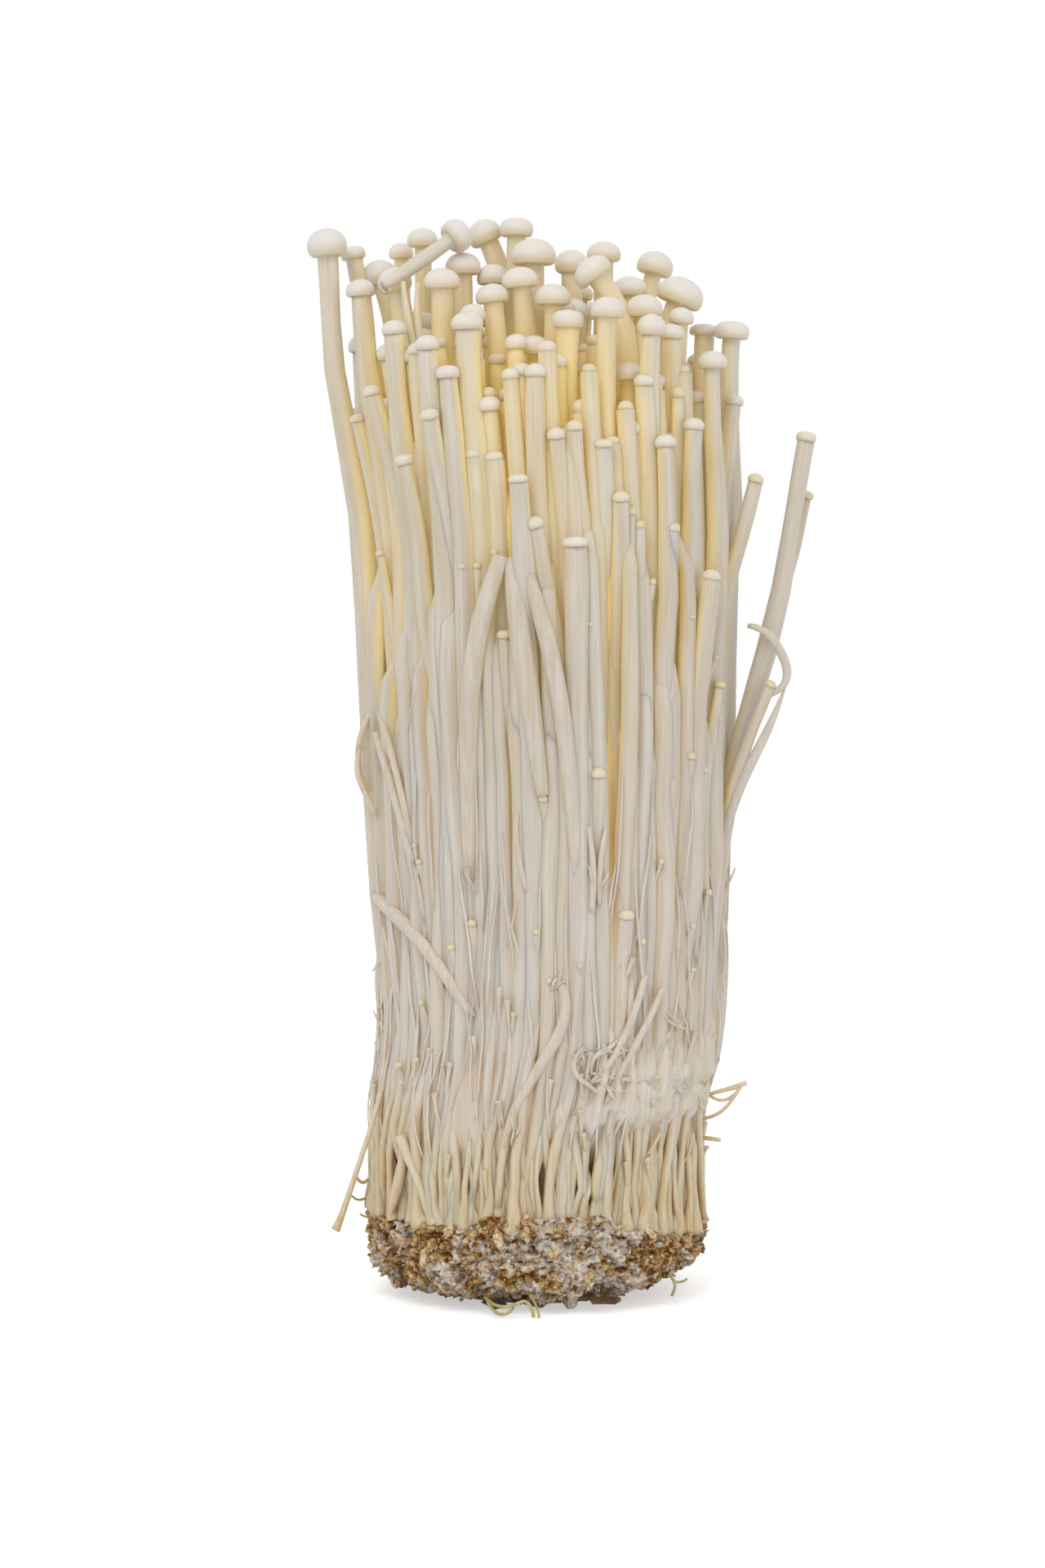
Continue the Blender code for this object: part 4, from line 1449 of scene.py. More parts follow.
# Stems and strips of the surface that aren't plain mushrooms: places across and up, how far they stand
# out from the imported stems, and the radius.
SURFACE_STEMS = (
    ((-25.6, 63.6, 0.5, 0.9), (-23.4, 62.2, 0.7, 1.15), (-18.6, 58.7, 0.8, 1.15), (-14.5, 53.3, 0.6, 1.0),
     (-9.9, 46.3, -0.4, 0.8)),
    ((-25.4, 89.6, 0.6, 0.6), (-23.4, 84.0, 0.7, 0.75), (-20.8, 76.0, 0.6, 0.8), (-18.4, 66.0, 0.2, 0.7),
     (-17.0, 58.0, -0.6, 0.6)),
    ((-24.8, 93.0, 0.2, 0.5), (-23.6, 90.0, 0.6, 0.6), (-21.4, 82.0, 0.6, 0.6), (-19.8, 75.0, 0.3, 0.55),
     (-19.0, 68.0, -0.4, 0.5)),
    ((-4.0, 117.0, -0.8, 1.1), (-3.3, 111.5, 0.2, 1.7), (-2.4, 104.0, 0.5, 1.8), (-1.2, 96.0, 0.6, 1.7),
     (-0.1, 88.0, 0.6, 1.4), (0.6, 82.6, 0.7, 1.1), (0.9, 80.8, 0.7, 0.9)),
    ((1.6, 53.0, -0.6, 0.4), (3.6, 52.2, 0.2, 0.7), (4.8, 49.6, 0.5, 0.85), (4.0, 44.6, 0.4, 0.95),
     (0.8, 39.6, 0.2, 0.9), (-2.4, 34.4, 0.1, 0.85), (-4.6, 29.4, -0.1, 0.75), (-5.6, 23.0, -0.4, 0.6),
     (-6.0, 17.0, -0.7, 0.7)),
    ((19.6, 50.6, 0.6, 0.45), (18.0, 47.0, 0.8, 0.55), (15.6, 42.6, 0.8, 0.6), (12.4, 37.0, 0.5, 0.55),
     (10.6, 33.0, -0.2, 0.4)),
    ((16.8, 52.8, 0.4, 0.5), (15.4, 47.4, 0.7, 0.6), (13.2, 42.4, 0.7, 0.6), (10.8, 38.4, 0.4, 0.5),
     (8.0, 36.0, -0.2, 0.4)),
    ((-5.4, 117.4, -0.2, 1.2), (-7.4, 112.0, 0.5, 1.5), (-9.4, 104.0, 0.6, 1.6), (-10.6, 94.0, 0.4, 1.55),
     (-10.6, 82.0, 0.0, 1.4), (-10.2, 68.0, -0.8, 1.1)),
    ((-1.4, 114.5, -0.4, 1.1), (0.4, 109.0, 0.5, 1.35), (2.1, 103.0, 0.7, 1.45), (3.6, 95.0, 0.6, 1.45),
     (4.9, 86.0, 0.4, 1.4), (6.2, 72.0, -0.2, 1.2), (6.4, 60.0, -1.2, 0.9)),
    ((-19.8, 71.4, 0.3, 0.35), (-19.2, 69.6, 0.5, 0.45), (-18.0, 65.4, 0.4, 0.5),
     (-17.4, 60.0, -0.3, 0.4)),
    ((7.9, 76.0, 0.4, 0.35), (8.6, 72.0, 0.9, 0.5), (9.0, 68.0, 0.8, 0.55), (8.4, 63.0, 0.2, 0.5)),
    ((10.6, 75.6, 0.6, 0.25), (9.9, 72.6, 1.0, 0.45), (9.4, 69.0, 0.8, 0.5), (9.6, 64.0, 0.0, 0.4)),
    ((-2.9, 78.0, 0.3, 0.3), (-3.6, 75.0, 0.7, 0.45), (-3.0, 72.0, 0.6, 0.5), (-1.6, 66.0, 0.0, 0.4)),
    ((-21.3, 26.8, 0.5, 0.85), (-20.6, 25.0, 0.7, 0.9), (-19.4, 22.4, 0.6, 0.75),
     (-18.0, 19.0, 0.2, 0.55), (-16.8, 14.4, -0.4, 0.55)),
    ((-20.9, 23.8, -0.2, 0.6), (-21.3, 21.0, 0.5, 0.9), (-22.0, 18.0, 0.8, 0.9), (-22.7, 15.2, 0.9, 0.55),
     (-22.8, 14.4, 0.8, 0.3)),
    ((26.2, 34.0, 0.2, 0.4), (25.6, 30.0, 0.6, 0.5), (26.0, 24.0, 0.5, 0.55), (26.3, 17.0, 0.4, 0.65),
     (26.9, 11.5, 0.2, 0.5)),
    ((7.4, 42.0, -0.1, 0.2), (5.8, 40.6, 0.7, 0.36), (5.4, 38.6, 0.9, 0.42), (6.6, 36.8, 0.9, 0.42),
     (8.8, 35.6, 0.5, 0.34), (10.4, 33.6, -0.3, 0.2)),
    ((8.0, 38.0, -0.2, 0.25), (10.5, 37.2, 0.5, 0.42), (15.2, 36.2, 0.6, 0.38), (19.0, 36.9, 0.6, 0.42),
     (22.4, 36.2, 0.6, 0.4), (26.2, 34.4, 0.2, 0.28)),
    ((12.0, 35.0, 0.0, 0.2), (15.0, 34.6, 0.55, 0.3), (19.5, 35.2, 0.6, 0.32), (24.0, 34.0, 0.5, 0.3),
     (26.8, 33.2, 0.1, 0.2)),
    ((12.9, 43.2, -0.1, 0.2), (11.2, 41.4, 0.7, 0.36), (9.6, 41.4, 0.8, 0.4), (8.2, 39.8, 0.7, 0.36),
     (8.4, 37.4, -0.1, 0.2)),
)

# Loose strands that stand away from the bunch: each place and the radius there.
LOOSE_STEMS = (
    ((-24.6, -10.5, 33.0, 0.4), (-25.6, -11.5, 29.0, 0.42), (-27.6, -13.0, 23.0, 0.44),
     (-29.6, -14.4, 17.0, 0.46), (-31.0, -15.4, 13.0, 0.55), (-31.6, -15.8, 11.8, 0.75)),
    ((-26.9, -6.0, 80.0, 0.4), (-27.8, -6.4, 82.0, 0.5), (-28.6, -7.0, 86.0, 0.52),
     (-27.9, -7.0, 90.0, 0.5), (-26.2, -6.4, 93.0, 0.4)),
    ((-25.4, -8.0, 76.6, 0.35), (-26.6, -8.2, 79.2, 0.45), (-28.2, -8.2, 82.0, 0.5),
     (-28.6, -7.6, 84.6, 0.48), (-27.9, -7.0, 87.6, 0.4)),
    ((25.9, -5.0, 31.2, 0.3), (28.0, -7.0, 32.4, 0.33), (30.6, -9.0, 33.2, 0.38),
     (32.4, -10.0, 34.0, 0.45), (33.2, -10.2, 34.4, 0.4)),
    ((26.0, -5.4, 28.0, 0.28), (28.0, -7.2, 28.4, 0.3), (30.2, -8.8, 30.0, 0.32),
     (31.4, -9.6, 32.2, 0.34), (32.2, -10.0, 33.6, 0.36)),
    ((26.2, -5.2, 33.0, 0.28), (28.4, -7.4, 30.8, 0.26), (30.0, -8.8, 31.0, 0.26),
     (31.2, -9.6, 32.4, 0.28)),
    ((25.6, -6.0, 25.1, 0.38), (27.4, -7.2, 25.2, 0.36), (29.2, -8.2, 25.0, 0.36)),
    ((-27.0, -5.0, 18.2, 0.3), (-27.7, -6.6, 17.4, 0.3), (-28.4, -8.0, 18.6, 0.3),
     (-28.8, -8.6, 19.4, 0.28)),
    ((-23.6, -4.4, 54.6, 0.32), (-25.0, -5.2, 53.2, 0.3), (-26.1, -5.6, 51.6, 0.16)),
    ((-23.4, -4.4, 40.4, 0.36), (-24.8, -5.0, 42.6, 0.28), (-26.0, -5.4, 45.4, 0.12)),
    ((-20.8, -14.6, 160.2, 0.35), (-20.4, -15.2, 156.0, 0.62), (-19.5, -15.8, 151.5, 0.72),
     (-18.3, -16.4, 147.0, 0.78), (-17.4, -16.4, 142.0, 0.7)),
    ((-18.5, -15.0, 160.0, 0.3), (-18.8, -15.6, 156.0, 0.55), (-18.2, -16.2, 151.0, 0.62),
     (-17.0, -16.6, 146.0, 0.6), (-16.4, -16.2, 141.0, 0.5)),
    ((29.0, -4.6, 63.4, 0.36), (30.8, -5.4, 65.6, 0.3), (31.6, -5.8, 68.2, 0.14)),
)

# Split ribbons that curl away on the right: each place and half the thickness there.
RIBBONS = (
    ((25.4, -8.0, 56.0, 0.3), (27.4, -8.4, 66.0, 0.5), (29.8, -8.6, 75.0, 0.62), (32.6, -8.6, 82.6, 0.62),
     (35.8, -8.4, 88.4, 0.55), (38.2, -8.0, 93.6, 0.36), (39.4, -7.8, 97.2, 0.1)),
    ((33.4, -7.4, 106.6, 0.25), (35.4, -7.8, 106.4, 0.42), (37.4, -8.2, 104.6, 0.5),
     (39.2, -8.4, 101.4, 0.5), (39.9, -8.4, 98.6, 0.46), (38.9, -8.2, 96.6, 0.38),
     (36.8, -8.0, 95.6, 0.3)),
)

# The greenish root threads that hang under the front of the block.
THREADS = (
    ((-8.0, -24.0, 2.6, 0.3), (-7.0, -27.6, 2.0, 0.3), (-4.6, -28.4, 1.6, 0.26), (-2.6, -28.0, 2.6, 0.26),
     (-1.4, -27.4, 2.8, 0.26), (-0.6, -28.6, 1.4, 0.3), (-0.5, -29.2, 0.5, 0.26)),
    ((-7.6, -26.4, 2.2, 0.24), (-6.6, -28.0, 1.0, 0.26), (-5.4, -28.6, 0.5, 0.26),
     (-4.2, -28.4, 0.9, 0.24), (-3.6, -27.6, 1.6, 0.2)),
    ((-1.0, -26.6, 3.4, 0.26), (-0.2, -28.0, 2.4, 0.24), (0.4, -28.8, 1.2, 0.22),
     (0.3, -29.2, 0.4, 0.24)),
    ((18.6, -13.0, 6.4, 0.3), (20.4, -14.6, 5.2, 0.3), (21.6, -16.0, 4.2, 0.28), (22.0, -16.6, 3.0, 0.26),
     (21.2, -17.0, 1.6, 0.24)),
    ((21.6, -16.0, 3.7, 0.22), (22.9, -16.6, 3.5, 0.2), (23.6, -16.8, 4.3, 0.18)),
    ((-25.8, -9.0, 12.6, 0.2), (-27.4, -10.2, 13.0, 0.2), (-27.9, -10.8, 13.6, 0.18)),
    ((-27.1, -8.4, 15.8, 0.24), (-28.4, -9.6, 15.2, 0.22), (-29.2, -10.2, 16.4, 0.2)),
)

# Where torn flesh lies in wisps: across, height, spread, how many, and their heading in degrees.
KNOTS = (
    (6.0, 38.4, 1.6, 5, 100.0), (8.6, 36.4, 1.4, 4, 40.0), (13.0, 39.6, 1.2, 5, 120.0),
    (12.0, 36.2, 1.4, 7, 60.0), (20.6, 34.8, 2.4, 8, 0.0), (25.0, 33.4, 1.2, 7, -10.0),
    (16.4, 34.4, 1.8, 6, 10.0), (8.6, 66.4, 1.1, 3, 75.0), (-10.2, 66.0, 1.0, 3, 105.0),
    (2.6, 50.6, 1.0, 3, 60.0), (-4.0, 27.0, 1.4, 3, 80.0), (22.0, 43.0, 1.6, 4, 95.0),
)


@dataclass
class Undergrowth:
    """What binds the stems above the feet: the fungus film, fine fibres, and thin root stalks."""

    bundle: Bundle
    flesh: Material
    film: Material
    white: Material
    stalk_count: int = 215
    fibre_count: int = 170
    pin_count: int = 90
    web_levels: tuple[float, ...] = (*(14.2 + 1.1 * i for i in range(40)),
                                     *(58.2 + 2.6 * i for i in range(37)))
    web_sides: int = 620
    veil_start: float = 258.0
    veil_turn: float = 96.0
    veil_low: float = 26.0
    veil_rise: float = 28.0
    veil_wall: float = 0.35

    def lay(self, name: str, strands: Iterable[Sequence[Mark]], roundness: int, walls: float, chance: float,
            flat: float = 0.0) -> None:
        """Hand over strands of flesh as one piece, with the coordinates and the tone that the flesh reads.

        Args:
            name: The piece's name.
            strands: The strands.
            roundness: How round they are.
            walls: How much painted gap shade their sides take, which face the gaps.
            chance: Their tone.
            flat: Half the extra width of a ribbon, in millimetres.
        """
        piece = strand_piece(name, strands, roundness, flat)
        points = points_of(piece.data)
        normals = np.empty(points.size)
        piece.data.vertices.foreach_get("normal", normals)
        spokes = points[:, :2] / np.linalg.norm(points[:, :2], axis=1)[:, None]
        facing = np.sum(normals.reshape(-1, 3)[:, :2] * spokes, axis=1)
        tone = np.tile((0.0, 0.0, chance, 0.0), (len(points), 1))
        # The sides that face the gaps take painted gap shade.
        tone[:, 1] = walls * np.clip((0.62 - facing) / 0.70, 0.0, 1.0)
        store(piece.data, "grain", points)
        store(piece.data, "tone", tone)
        hand_over(piece, Slot.MUSHROOM, self.flesh, "mushroom_cluster")

    def sunk(self, angle: float, z: float) -> float:
        """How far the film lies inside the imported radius.

        Args:
            angle: The angle round the bunch, in radians.
            z: The height, in millimetres.

        Returns:
            The depth, in millimetres.
        """
        spot = Vector((3.0 * math.cos(angle), 3.0 * math.sin(angle), z / 26.0))
        ragged = noise.noise(spot) + 0.5 * noise.noise(spot * 2.7)
        low_edge = smooth((z - 19.0 - 4.0 * ragged) / 9.0)
        high_edge = smooth((z - 52.0 - 16.0 * ragged) / 46.0)
        ridge = noise.noise(Vector((26.0 * math.cos(angle), 26.0 * math.sin(angle), z / 16.0)))
        fine = noise.noise(Vector((70.0 * math.cos(angle), 70.0 * math.sin(angle), z / 9.0)))
        depth = 1.55 + 3.2 * (1.0 - low_edge) + 2.5 * high_edge
        dome = 24.0 * smooth((z - 122.0) / 32.0)
        return depth + dome - 0.75 * ridge - 0.28 * fine + 0.4 * ragged

    def web(self) -> None:
        """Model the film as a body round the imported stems, ridged along them."""
        base = self.web_levels[0]
        made = turned(self.web_sides, [(level - base, 1.0) for level in self.web_levels[1:]])
        points = points_of(made.data)
        for row in points:
            angle, z = math.atan2(row[1], row[0]), row[2] + base
            row[:] = self.bundle.around(angle, z, -self.sunk(angle, z))
        place_points(made.data, points * MM)
        made.name = "fungus_web"
        hand_over(made, Slot.MUSHROOM, self.film, "mushroom_cluster")

    @staticmethod
    def fold(u: float, v: float, z: float) -> float:
        """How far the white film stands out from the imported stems.

        Args:
            u: Place across the film, from 0 to 1.
            v: Place up the film, from 0 to 1.
            z: The height, in millimetres.

        Returns:
            The distance, in millimetres.
        """
        wisp = 0.11 * noise.noise(Vector((10.0 * u, 0.0, 3.0 * v)))
        wisp += 0.09 * noise.noise(Vector((34.0 * u, 9.0, 4.0 * v)))
        inside = min(u / 0.55, (1.0 - u) / 0.16, v / 0.22, (1.0 - v) / 0.95) / 2.0 + wisp
        folds = noise.noise(Vector((2.5 * u, 4.0, 13.0 * v)))
        folds += 0.6 * noise.noise(Vector((7.0 * u, 1.0, 34.0 * v)))
        slant = u + 0.10 * v
        ribs = noise.noise(Vector((38.0 * slant, 2.0, 3.0 * v)))
        ribs += 0.5 * noise.noise(Vector((95.0 * slant, 2.0, 8.0 * v)))
        raised = math.exp(-(((z - 33.0 - 3.0 * (1.0 - u)) / 0.7) ** 2))
        crease = raised - 1.1 * math.exp(-(((z - 34.6) / 0.9) ** 2))
        return -3.3 + 3.65 * smooth(inside / 0.46) + 0.14 * folds + 0.85 * ribs + 0.40 * crease

    def veil(self) -> None:
        """Model the white film that covers the right of the front, with its level folds."""
        deselect()
        bpy.ops.mesh.primitive_grid_add(x_subdivisions=170, y_subdivisions=80, size=1.0, location=(0, 0, 0))
        made = bpy.context.object
        points = points_of(made.data)
        for row in points:
            u, v = row[0] + 0.5, row[1] + 0.5
            angle, z = math.radians(self.veil_start + self.veil_turn * u), self.veil_low + self.veil_rise * v
            row[:] = self.bundle.around(angle, z, self.fold(u, v, z))
        place_points(made.data, points * MM)
        wall = made.modifiers.new("wall", "SOLIDIFY")
        wall.thickness = self.veil_wall * MM
        wall.offset = 0.0
        pick([made])
        bpy.ops.object.modifier_apply(modifier=wall.name)
        made.name = "film_veil"
        hand_over(settled(made), Slot.MUSHROOM, self.white, "mushroom_cluster")

    def stalks(self) -> None:
        """Model the thin root stalks between the feet."""
        draw = random.Random(SEED + 30)
        strands = []
        for i in range(self.stalk_count):
            angle = math.tau * (i + draw.uniform(-0.4, 0.4)) / self.stalk_count
            out = draw.uniform(-2.9, -0.5)
            low = self.bundle.seat_height(27 * math.cos(angle)) + 0.1
            top = draw.uniform(22.0, 34.0) if draw.random() < 0.74 else draw.uniform(34.0, 66.0)
            drift = draw.uniform(-0.20, 0.20)
            girth = draw.uniform(0.36, 0.88)
            steps = 9 if top > 34.0 else 6
            marks = []
            for step in range(steps + 1):
                part = (step / steps) ** 1.5
                z = low + (top - low) * part
                turn = angle + drift * min(z - low, 26.0) / 40.0 + draw.uniform(-0.026, 0.026)
                sink = (out + 1.0) * (1.0 - part) - 1.0 - 1.6 * clamped((part - 0.7) / 0.3)
                place = self.bundle.around(turn, z, sink + draw.uniform(-0.3, 0.3))
                flare = 1.2 * math.exp(-(((z - low) / 2.2) ** 2)) - 0.5 * clamped((part - 0.75) / 0.25)
                marks.append((*place, girth * (1.0 + flare + draw.uniform(-0.14, 0.14))))
            strands.append(marks)
        self.lay("root_stalks", strands, 1, 0.9, 0.45)

    def fibres(self) -> None:
        """Model the fine fibres that lie along the stems."""
        draw = random.Random(SEED + 31)
        strands = []
        for _ in range(self.fibre_count):
            angle = draw.uniform(0.0, math.tau)
            low = draw.triangular(18.0, 88.0, 26.0)
            length = draw.uniform(8.0, 30.0)
            drift = draw.uniform(-0.14, 0.14)
            girth = draw.uniform(0.10, 0.30)
            marks = []
            for step in range(6):
                part = step / 5
                out = draw.uniform(-0.5, 0.1) - 0.9 * (2 * part - 1) ** 4
                turn = angle + drift * part + draw.uniform(-0.015, 0.015)
                radius = girth * (1.0 - 0.5 * abs(2 * part - 1))
                marks.append((*self.bundle.around(turn, low + length * part, out), radius))
            strands.append(marks)
        hand_over(strand_piece("fine_fibres", strands, 0), Slot.MUSHROOM, self.white, "mushroom_cluster")

    def pins(self) -> None:
        """Model the pinhead mushrooms that never grew, low among the stems."""
        draw = random.Random(SEED + 32)
        strands = []
        for _ in range(self.pin_count):
            angle, low = draw.uniform(0.0, math.tau), draw.triangular(13.5, 58.0, 20.0)
            length, drift, head = draw.uniform(3.0, 9.0), draw.uniform(-0.09, 0.09), draw.uniform(0.36, 0.62)
            marks = [(*self.bundle.around(angle, low, -2.2), 0.55 * head)]
            for part, girth in ((0.35, 0.6), (0.7, 0.55), (0.90, 0.6), (0.97, 1.0), (1.0, 1.0)):
                out = -0.9 + 0.8 * part + draw.uniform(-0.1, 0.1)
                place = self.bundle.around(angle + drift * part, low + length * part, out)
                marks.append((*place, girth * head))
            strands.append(marks)
        self.lay("pinhead_mushrooms", strands, 1, 0.3, 0.9)

    def knots(self) -> None:
        """Model the curls and knots of torn flesh at the neck and a little way up."""
        draw = random.Random(SEED + 33)
        strands = []
        for centre_x, centre_z, spread, count, course in KNOTS:
            for _ in range(count):
                x = centre_x + draw.uniform(-spread, spread)
                z = centre_z + draw.uniform(-spread, spread) * 0.7
                heading = math.radians(course + draw.uniform(-45.0, 45.0))
                girth = draw.uniform(0.12, 0.34)
                steps = draw.randint(4, 7)
                marks = []
                for step in range(steps):
                    part = step / (steps - 1)
                    out = -0.5 + 0.85 * math.sin(math.pi * part) + draw.uniform(-0.1, 0.3)
                    radius = girth * (1.0 - 0.7 * abs(2.0 * part - 1.0)) * draw.uniform(0.7, 1.3)
                    marks.append((x, self.bundle.front_y(x, z, -out), z, radius))
                    stride = draw.uniform(0.4, 1.1)
                    x, z = x + stride * math.cos(heading), z + stride * math.sin(heading)
                    heading += draw.uniform(-0.9, 0.9)
                strands.append(marks)
        self.lay("torn_knots", strands, 1, 0.6, 0.6)

    def surface_stems(self) -> None:
        """Model the broken, crossing and bent stems of the surface."""
        strands = [[(x, self.bundle.front_y(x, z, 0.6 - out), z, radius) for x, z, out, radius in marks]
                   for marks in SURFACE_STEMS]
        self.lay("crossing_stems", [*strands, *LOOSE_STEMS], 2, 0.5, 0.35)

    def build(self) -> None:
        """Model all of it."""
        self.web()
        self.veil()
        self.stalks()
        self.fibres()
        self.pins()
        self.knots()
        self.surface_stems()
        self.lay("split_ribbons", RIBBONS, 1, 0.0, 0.1, 0.45)


# ---- The block ----


# Large husks and flakes: place, half sizes, which way each faces, and whether it is a dark husk.
HUSKS = (
    ((-6.6, -24.6, 2.1), (1.0, 2.4, 1.3), (0.1, -1.0, -0.2), True),
    ((10.8, -23.6, 2.2), (0.8, 3.8, 1.2), (0.2, -1.0, -0.2), True),
    ((-20.6, -15.6, 4.6), (1.8, 1.4, 1.4), (-0.6, -0.8, -0.5), True),
    ((-6.0, -27.6, 12.3), (1.9, 1.0, 1.2), (0.1, -0.9, 0.7), False),
    ((-13.4, -24.4, 12.9), (1.5, 1.0, 1.2), (-0.3, -0.6, 0.9), False),
    ((17.6, -21.4, 12.2), (1.6, 1.1, 1.2), (0.5, -0.6, 0.8), False),
    ((2.6, -28.0, 10.2), (1.6, 1.1, 1.2), (0.1, -1.0, 0.1), False),
    ((-17.4, -21.6, 8.6), (1.7, 1.2, 1.2), (-0.5, -0.9, 0.1), False),
    ((8.0, -26.6, 6.0), (1.5, 1.1, 1.2), (0.3, -1.0, -0.3), False),
)


@dataclass
class Block:
    """The block of bran and sawdust: a squat crumbly plug with a hole that the roots fill."""

    bundle: Bundle
    bran: Material
    radius: float = 27.3
    hole: float = 20.3
    floor_z: float = 9.0
    rest_radius: float = 14.5
    sides: int = 340
    crumb: float = 2.1
    fine_crumb: float = 0.95
    fungus_from: float = 0.45
    crumbs_top: float = 16.4
    husk_low: float = 0.2

    def outline(self, angle: float) -> list[tuple[float, float]]:
        """Outline of the block at an angle.

        Args:
            angle: The angle round the block, in radians.

        Returns:
            (radius, height) from the edge of the hole, over the top and down to the flat spot.
        """
        x, y = math.cos(angle), math.sin(angle)
        top = self.bundle.seat_height(self.radius * x) + 0.2 * math.sin(5 * angle)
        lip = 2.4 * clamped((12.0 - abs(self.radius * x - 1.0)) / 3.0) if y < 0 else 0.0
        lift = 1.6 * clamped(x) ** 2
        side = self.radius + 1.0 * clamped(-1.4 * y)
        return [(self.hole, self.floor_z), (self.hole, top - 0.2), (24.0, top), (side - 1.0, top),
                (side - 0.6, top + 0.2 + lip), (side - 0.1, top - 0.8 + 0.8 * lip),
                (side, top - 2.2 + 0.4 * lip), (side + 0.1, top - 4.0),
                (side - 0.4, 6.0 + 0.6 * lift), (side - 1.6, 3.9 + 0.9 * lift),
                (side - 3.6, 2.4 + lift), (side - 6.4, 1.4 + 0.9 * lift), (side - 9.4, 0.8 + 0.5 * lift),
                (self.rest_radius + 0.6, 0.25), (self.rest_radius, 0.0)]

    def relief(self, spot: Vector) -> tuple[float, float, float, float]:
        """Crumbly relief at a place.

        Args:
            spot: The place, in millimetres.

        Returns:
            The height in millimetres, the crumb's tone, the share of painted shade in the cracks, and the
            fungus cover.
        """
        broad = noise.noise(spot / 3.1) + 0.6 * noise.noise(spot / 6.5 + Vector((9, 0, 0))) - 0.1
        warped = spot + noise.noise_vector(spot / 1.6) * 0.7
        flat = Vector((warped.x, warped.y, warped.z * 1.25))
        gaps, seeds = noise.voronoi(flat / self.crumb)
        edge = gaps[1] - gaps[0]
        chance = noise.cell(seeds[0] * 7.31 + Vector((3, 1, 2)))
        fine_gaps, fine_seeds = noise.voronoi(flat / self.fine_crumb + Vector((4, 4, 4)))
        fine_edge = fine_gaps[1] - fine_gaps[0]
        fine_chance = noise.cell(fine_seeds[0] * 5.17)
        height = 1.15 * broad + 0.85 * (chance - 0.55) + 0.32 * (fine_chance - 0.5)
        height -= 0.55 * (1.0 - smooth(edge / 0.16)) + 0.22 * (1.0 - smooth(fine_edge / 0.2))
        # How much painted shade the cracks take, less where fungus covers them.
        crevice_shade = clamped(0.8 * (1.0 - smooth(edge / 0.14)) + 0.4 * (1.0 - smooth(fine_edge / 0.16)))
        front = smooth((-spot.y - 6.0) / 12.0)
        middle = math.exp(-((spot.x - 8.0) / 11.0) ** 2)
        cover = noise.noise(spot / 5.2 + Vector((0, 7, 3))) + 0.5 * noise.noise(spot / 1.9)
        cover = clamped(0.20 + 0.75 * cover + 0.42 * front * middle)
        if cover > self.fungus_from:
            lump = noise.noise(spot / 1.1 + Vector((1, 8, 0)))
            height += (cover - self.fungus_from) * (0.9 + 0.9 * lump)
            crevice_shade *= 1.0 - 0.7 * (cover - self.fungus_from) / (1.0 - self.fungus_from)
        tone = clamped(0.62 * chance + 0.42 * fine_chance + 0.15 * broad)
        return height, tone, crevice_shade, cover

    def surface(self, angle: float, along: float) -> tuple[Vector, tuple[float, float, float]]:
        """Give a place on the crumbled surface.

        Args:
            angle: The angle round the block, in radians.
            along: How far along the outline, counted in its corners.

        Returns:
            The place, and the crumb's tone, painted crack shade and fungus cover there.
        """
        outline = self.outline(angle)
        low = min(int(along), len(outline) - 2)
        part = along - low
        (r0, z0), (r1, z1) = outline[low], outline[low + 1]
        radius, height = r0 + (r1 - r0) * part, z0 + (z1 - z0) * part
        x, y = math.cos(angle), math.sin(angle)
        bump, tone, crevice_shade, cover = self.relief(Vector((radius * x, radius * y, height)))
        rough = smooth((along - 3.0) / 1.6) * smooth((13.6 - along) / 1.2)
        top = smooth((along - 1.6) / 0.6) * (1.0 - smooth((along - 3.0) / 1.0))
        slope = clamped((8.0 - height) / 6.0)
        out = radius + bump * rough * (1.0 - 0.6 * slope)
        height += -0.9 * bump * rough * slope + top * 0.35 * min(bump, 0.4)
        return Vector((out * x, out * y, max(height, 0.0))), (tone, crevice_shade, cover)

    def body(self) -> None:
        """Model the block: a ring extruded round its outline, then crumbled."""
        path = [0.0, 0.5, 1.0, 1.5, 2.0]
        for leg in range(2, 14):
            parts = 4 if leg < 4 else 7
            path += [leg + part / parts for part in range(1, parts + 1)]
        made = turned(self.sides, [(-step, 1.0) for step in range(1, len(path))], False)
        points = points_of(made.data)
        tones = np.ones((len(points), 4))
        for row, tone in zip(points, tones):
            side = round(math.atan2(row[1], row[0]) / math.tau * self.sides) % self.sides
            row[:], tone[:3] = self.surface(math.tau * side / self.sides, path[round(-row[2])])
        place_points(made.data, points * MM)
        store(made.data, "crumb", tones)
        settled(made, False)
        bpy.ops.object.shade_smooth_by_angle(angle=math.radians(50))
        made.name = "crumbly_block"
        hand_over(made, Slot.SUBSTRATE, self.bran, "substrate_block")

    def crumb_form(self, seed: int) -> Mesh:
        """Model one crumb: a ball of few faces, dented all over.

        Args:
            seed: The seed of its dents.

        Returns:
            The crumb's mesh, about 1 in radius.
        """
        deselect()
        bpy.ops.mesh.primitive_ico_sphere_add(subdivisions=2, radius=1.0, location=(0, 0, 0))
        made = bpy.context.object
        points = points_of(made.data)
        for row in points:
            spot = Vector(row) + Vector((13.0 * seed, 0, 0))
            row *= 1.0 + 0.45 * noise.noise(spot * 1.3) + 0.25 * noise.noise(spot * 2.9)
        place_points(made.data, points)
        return lifted(made)

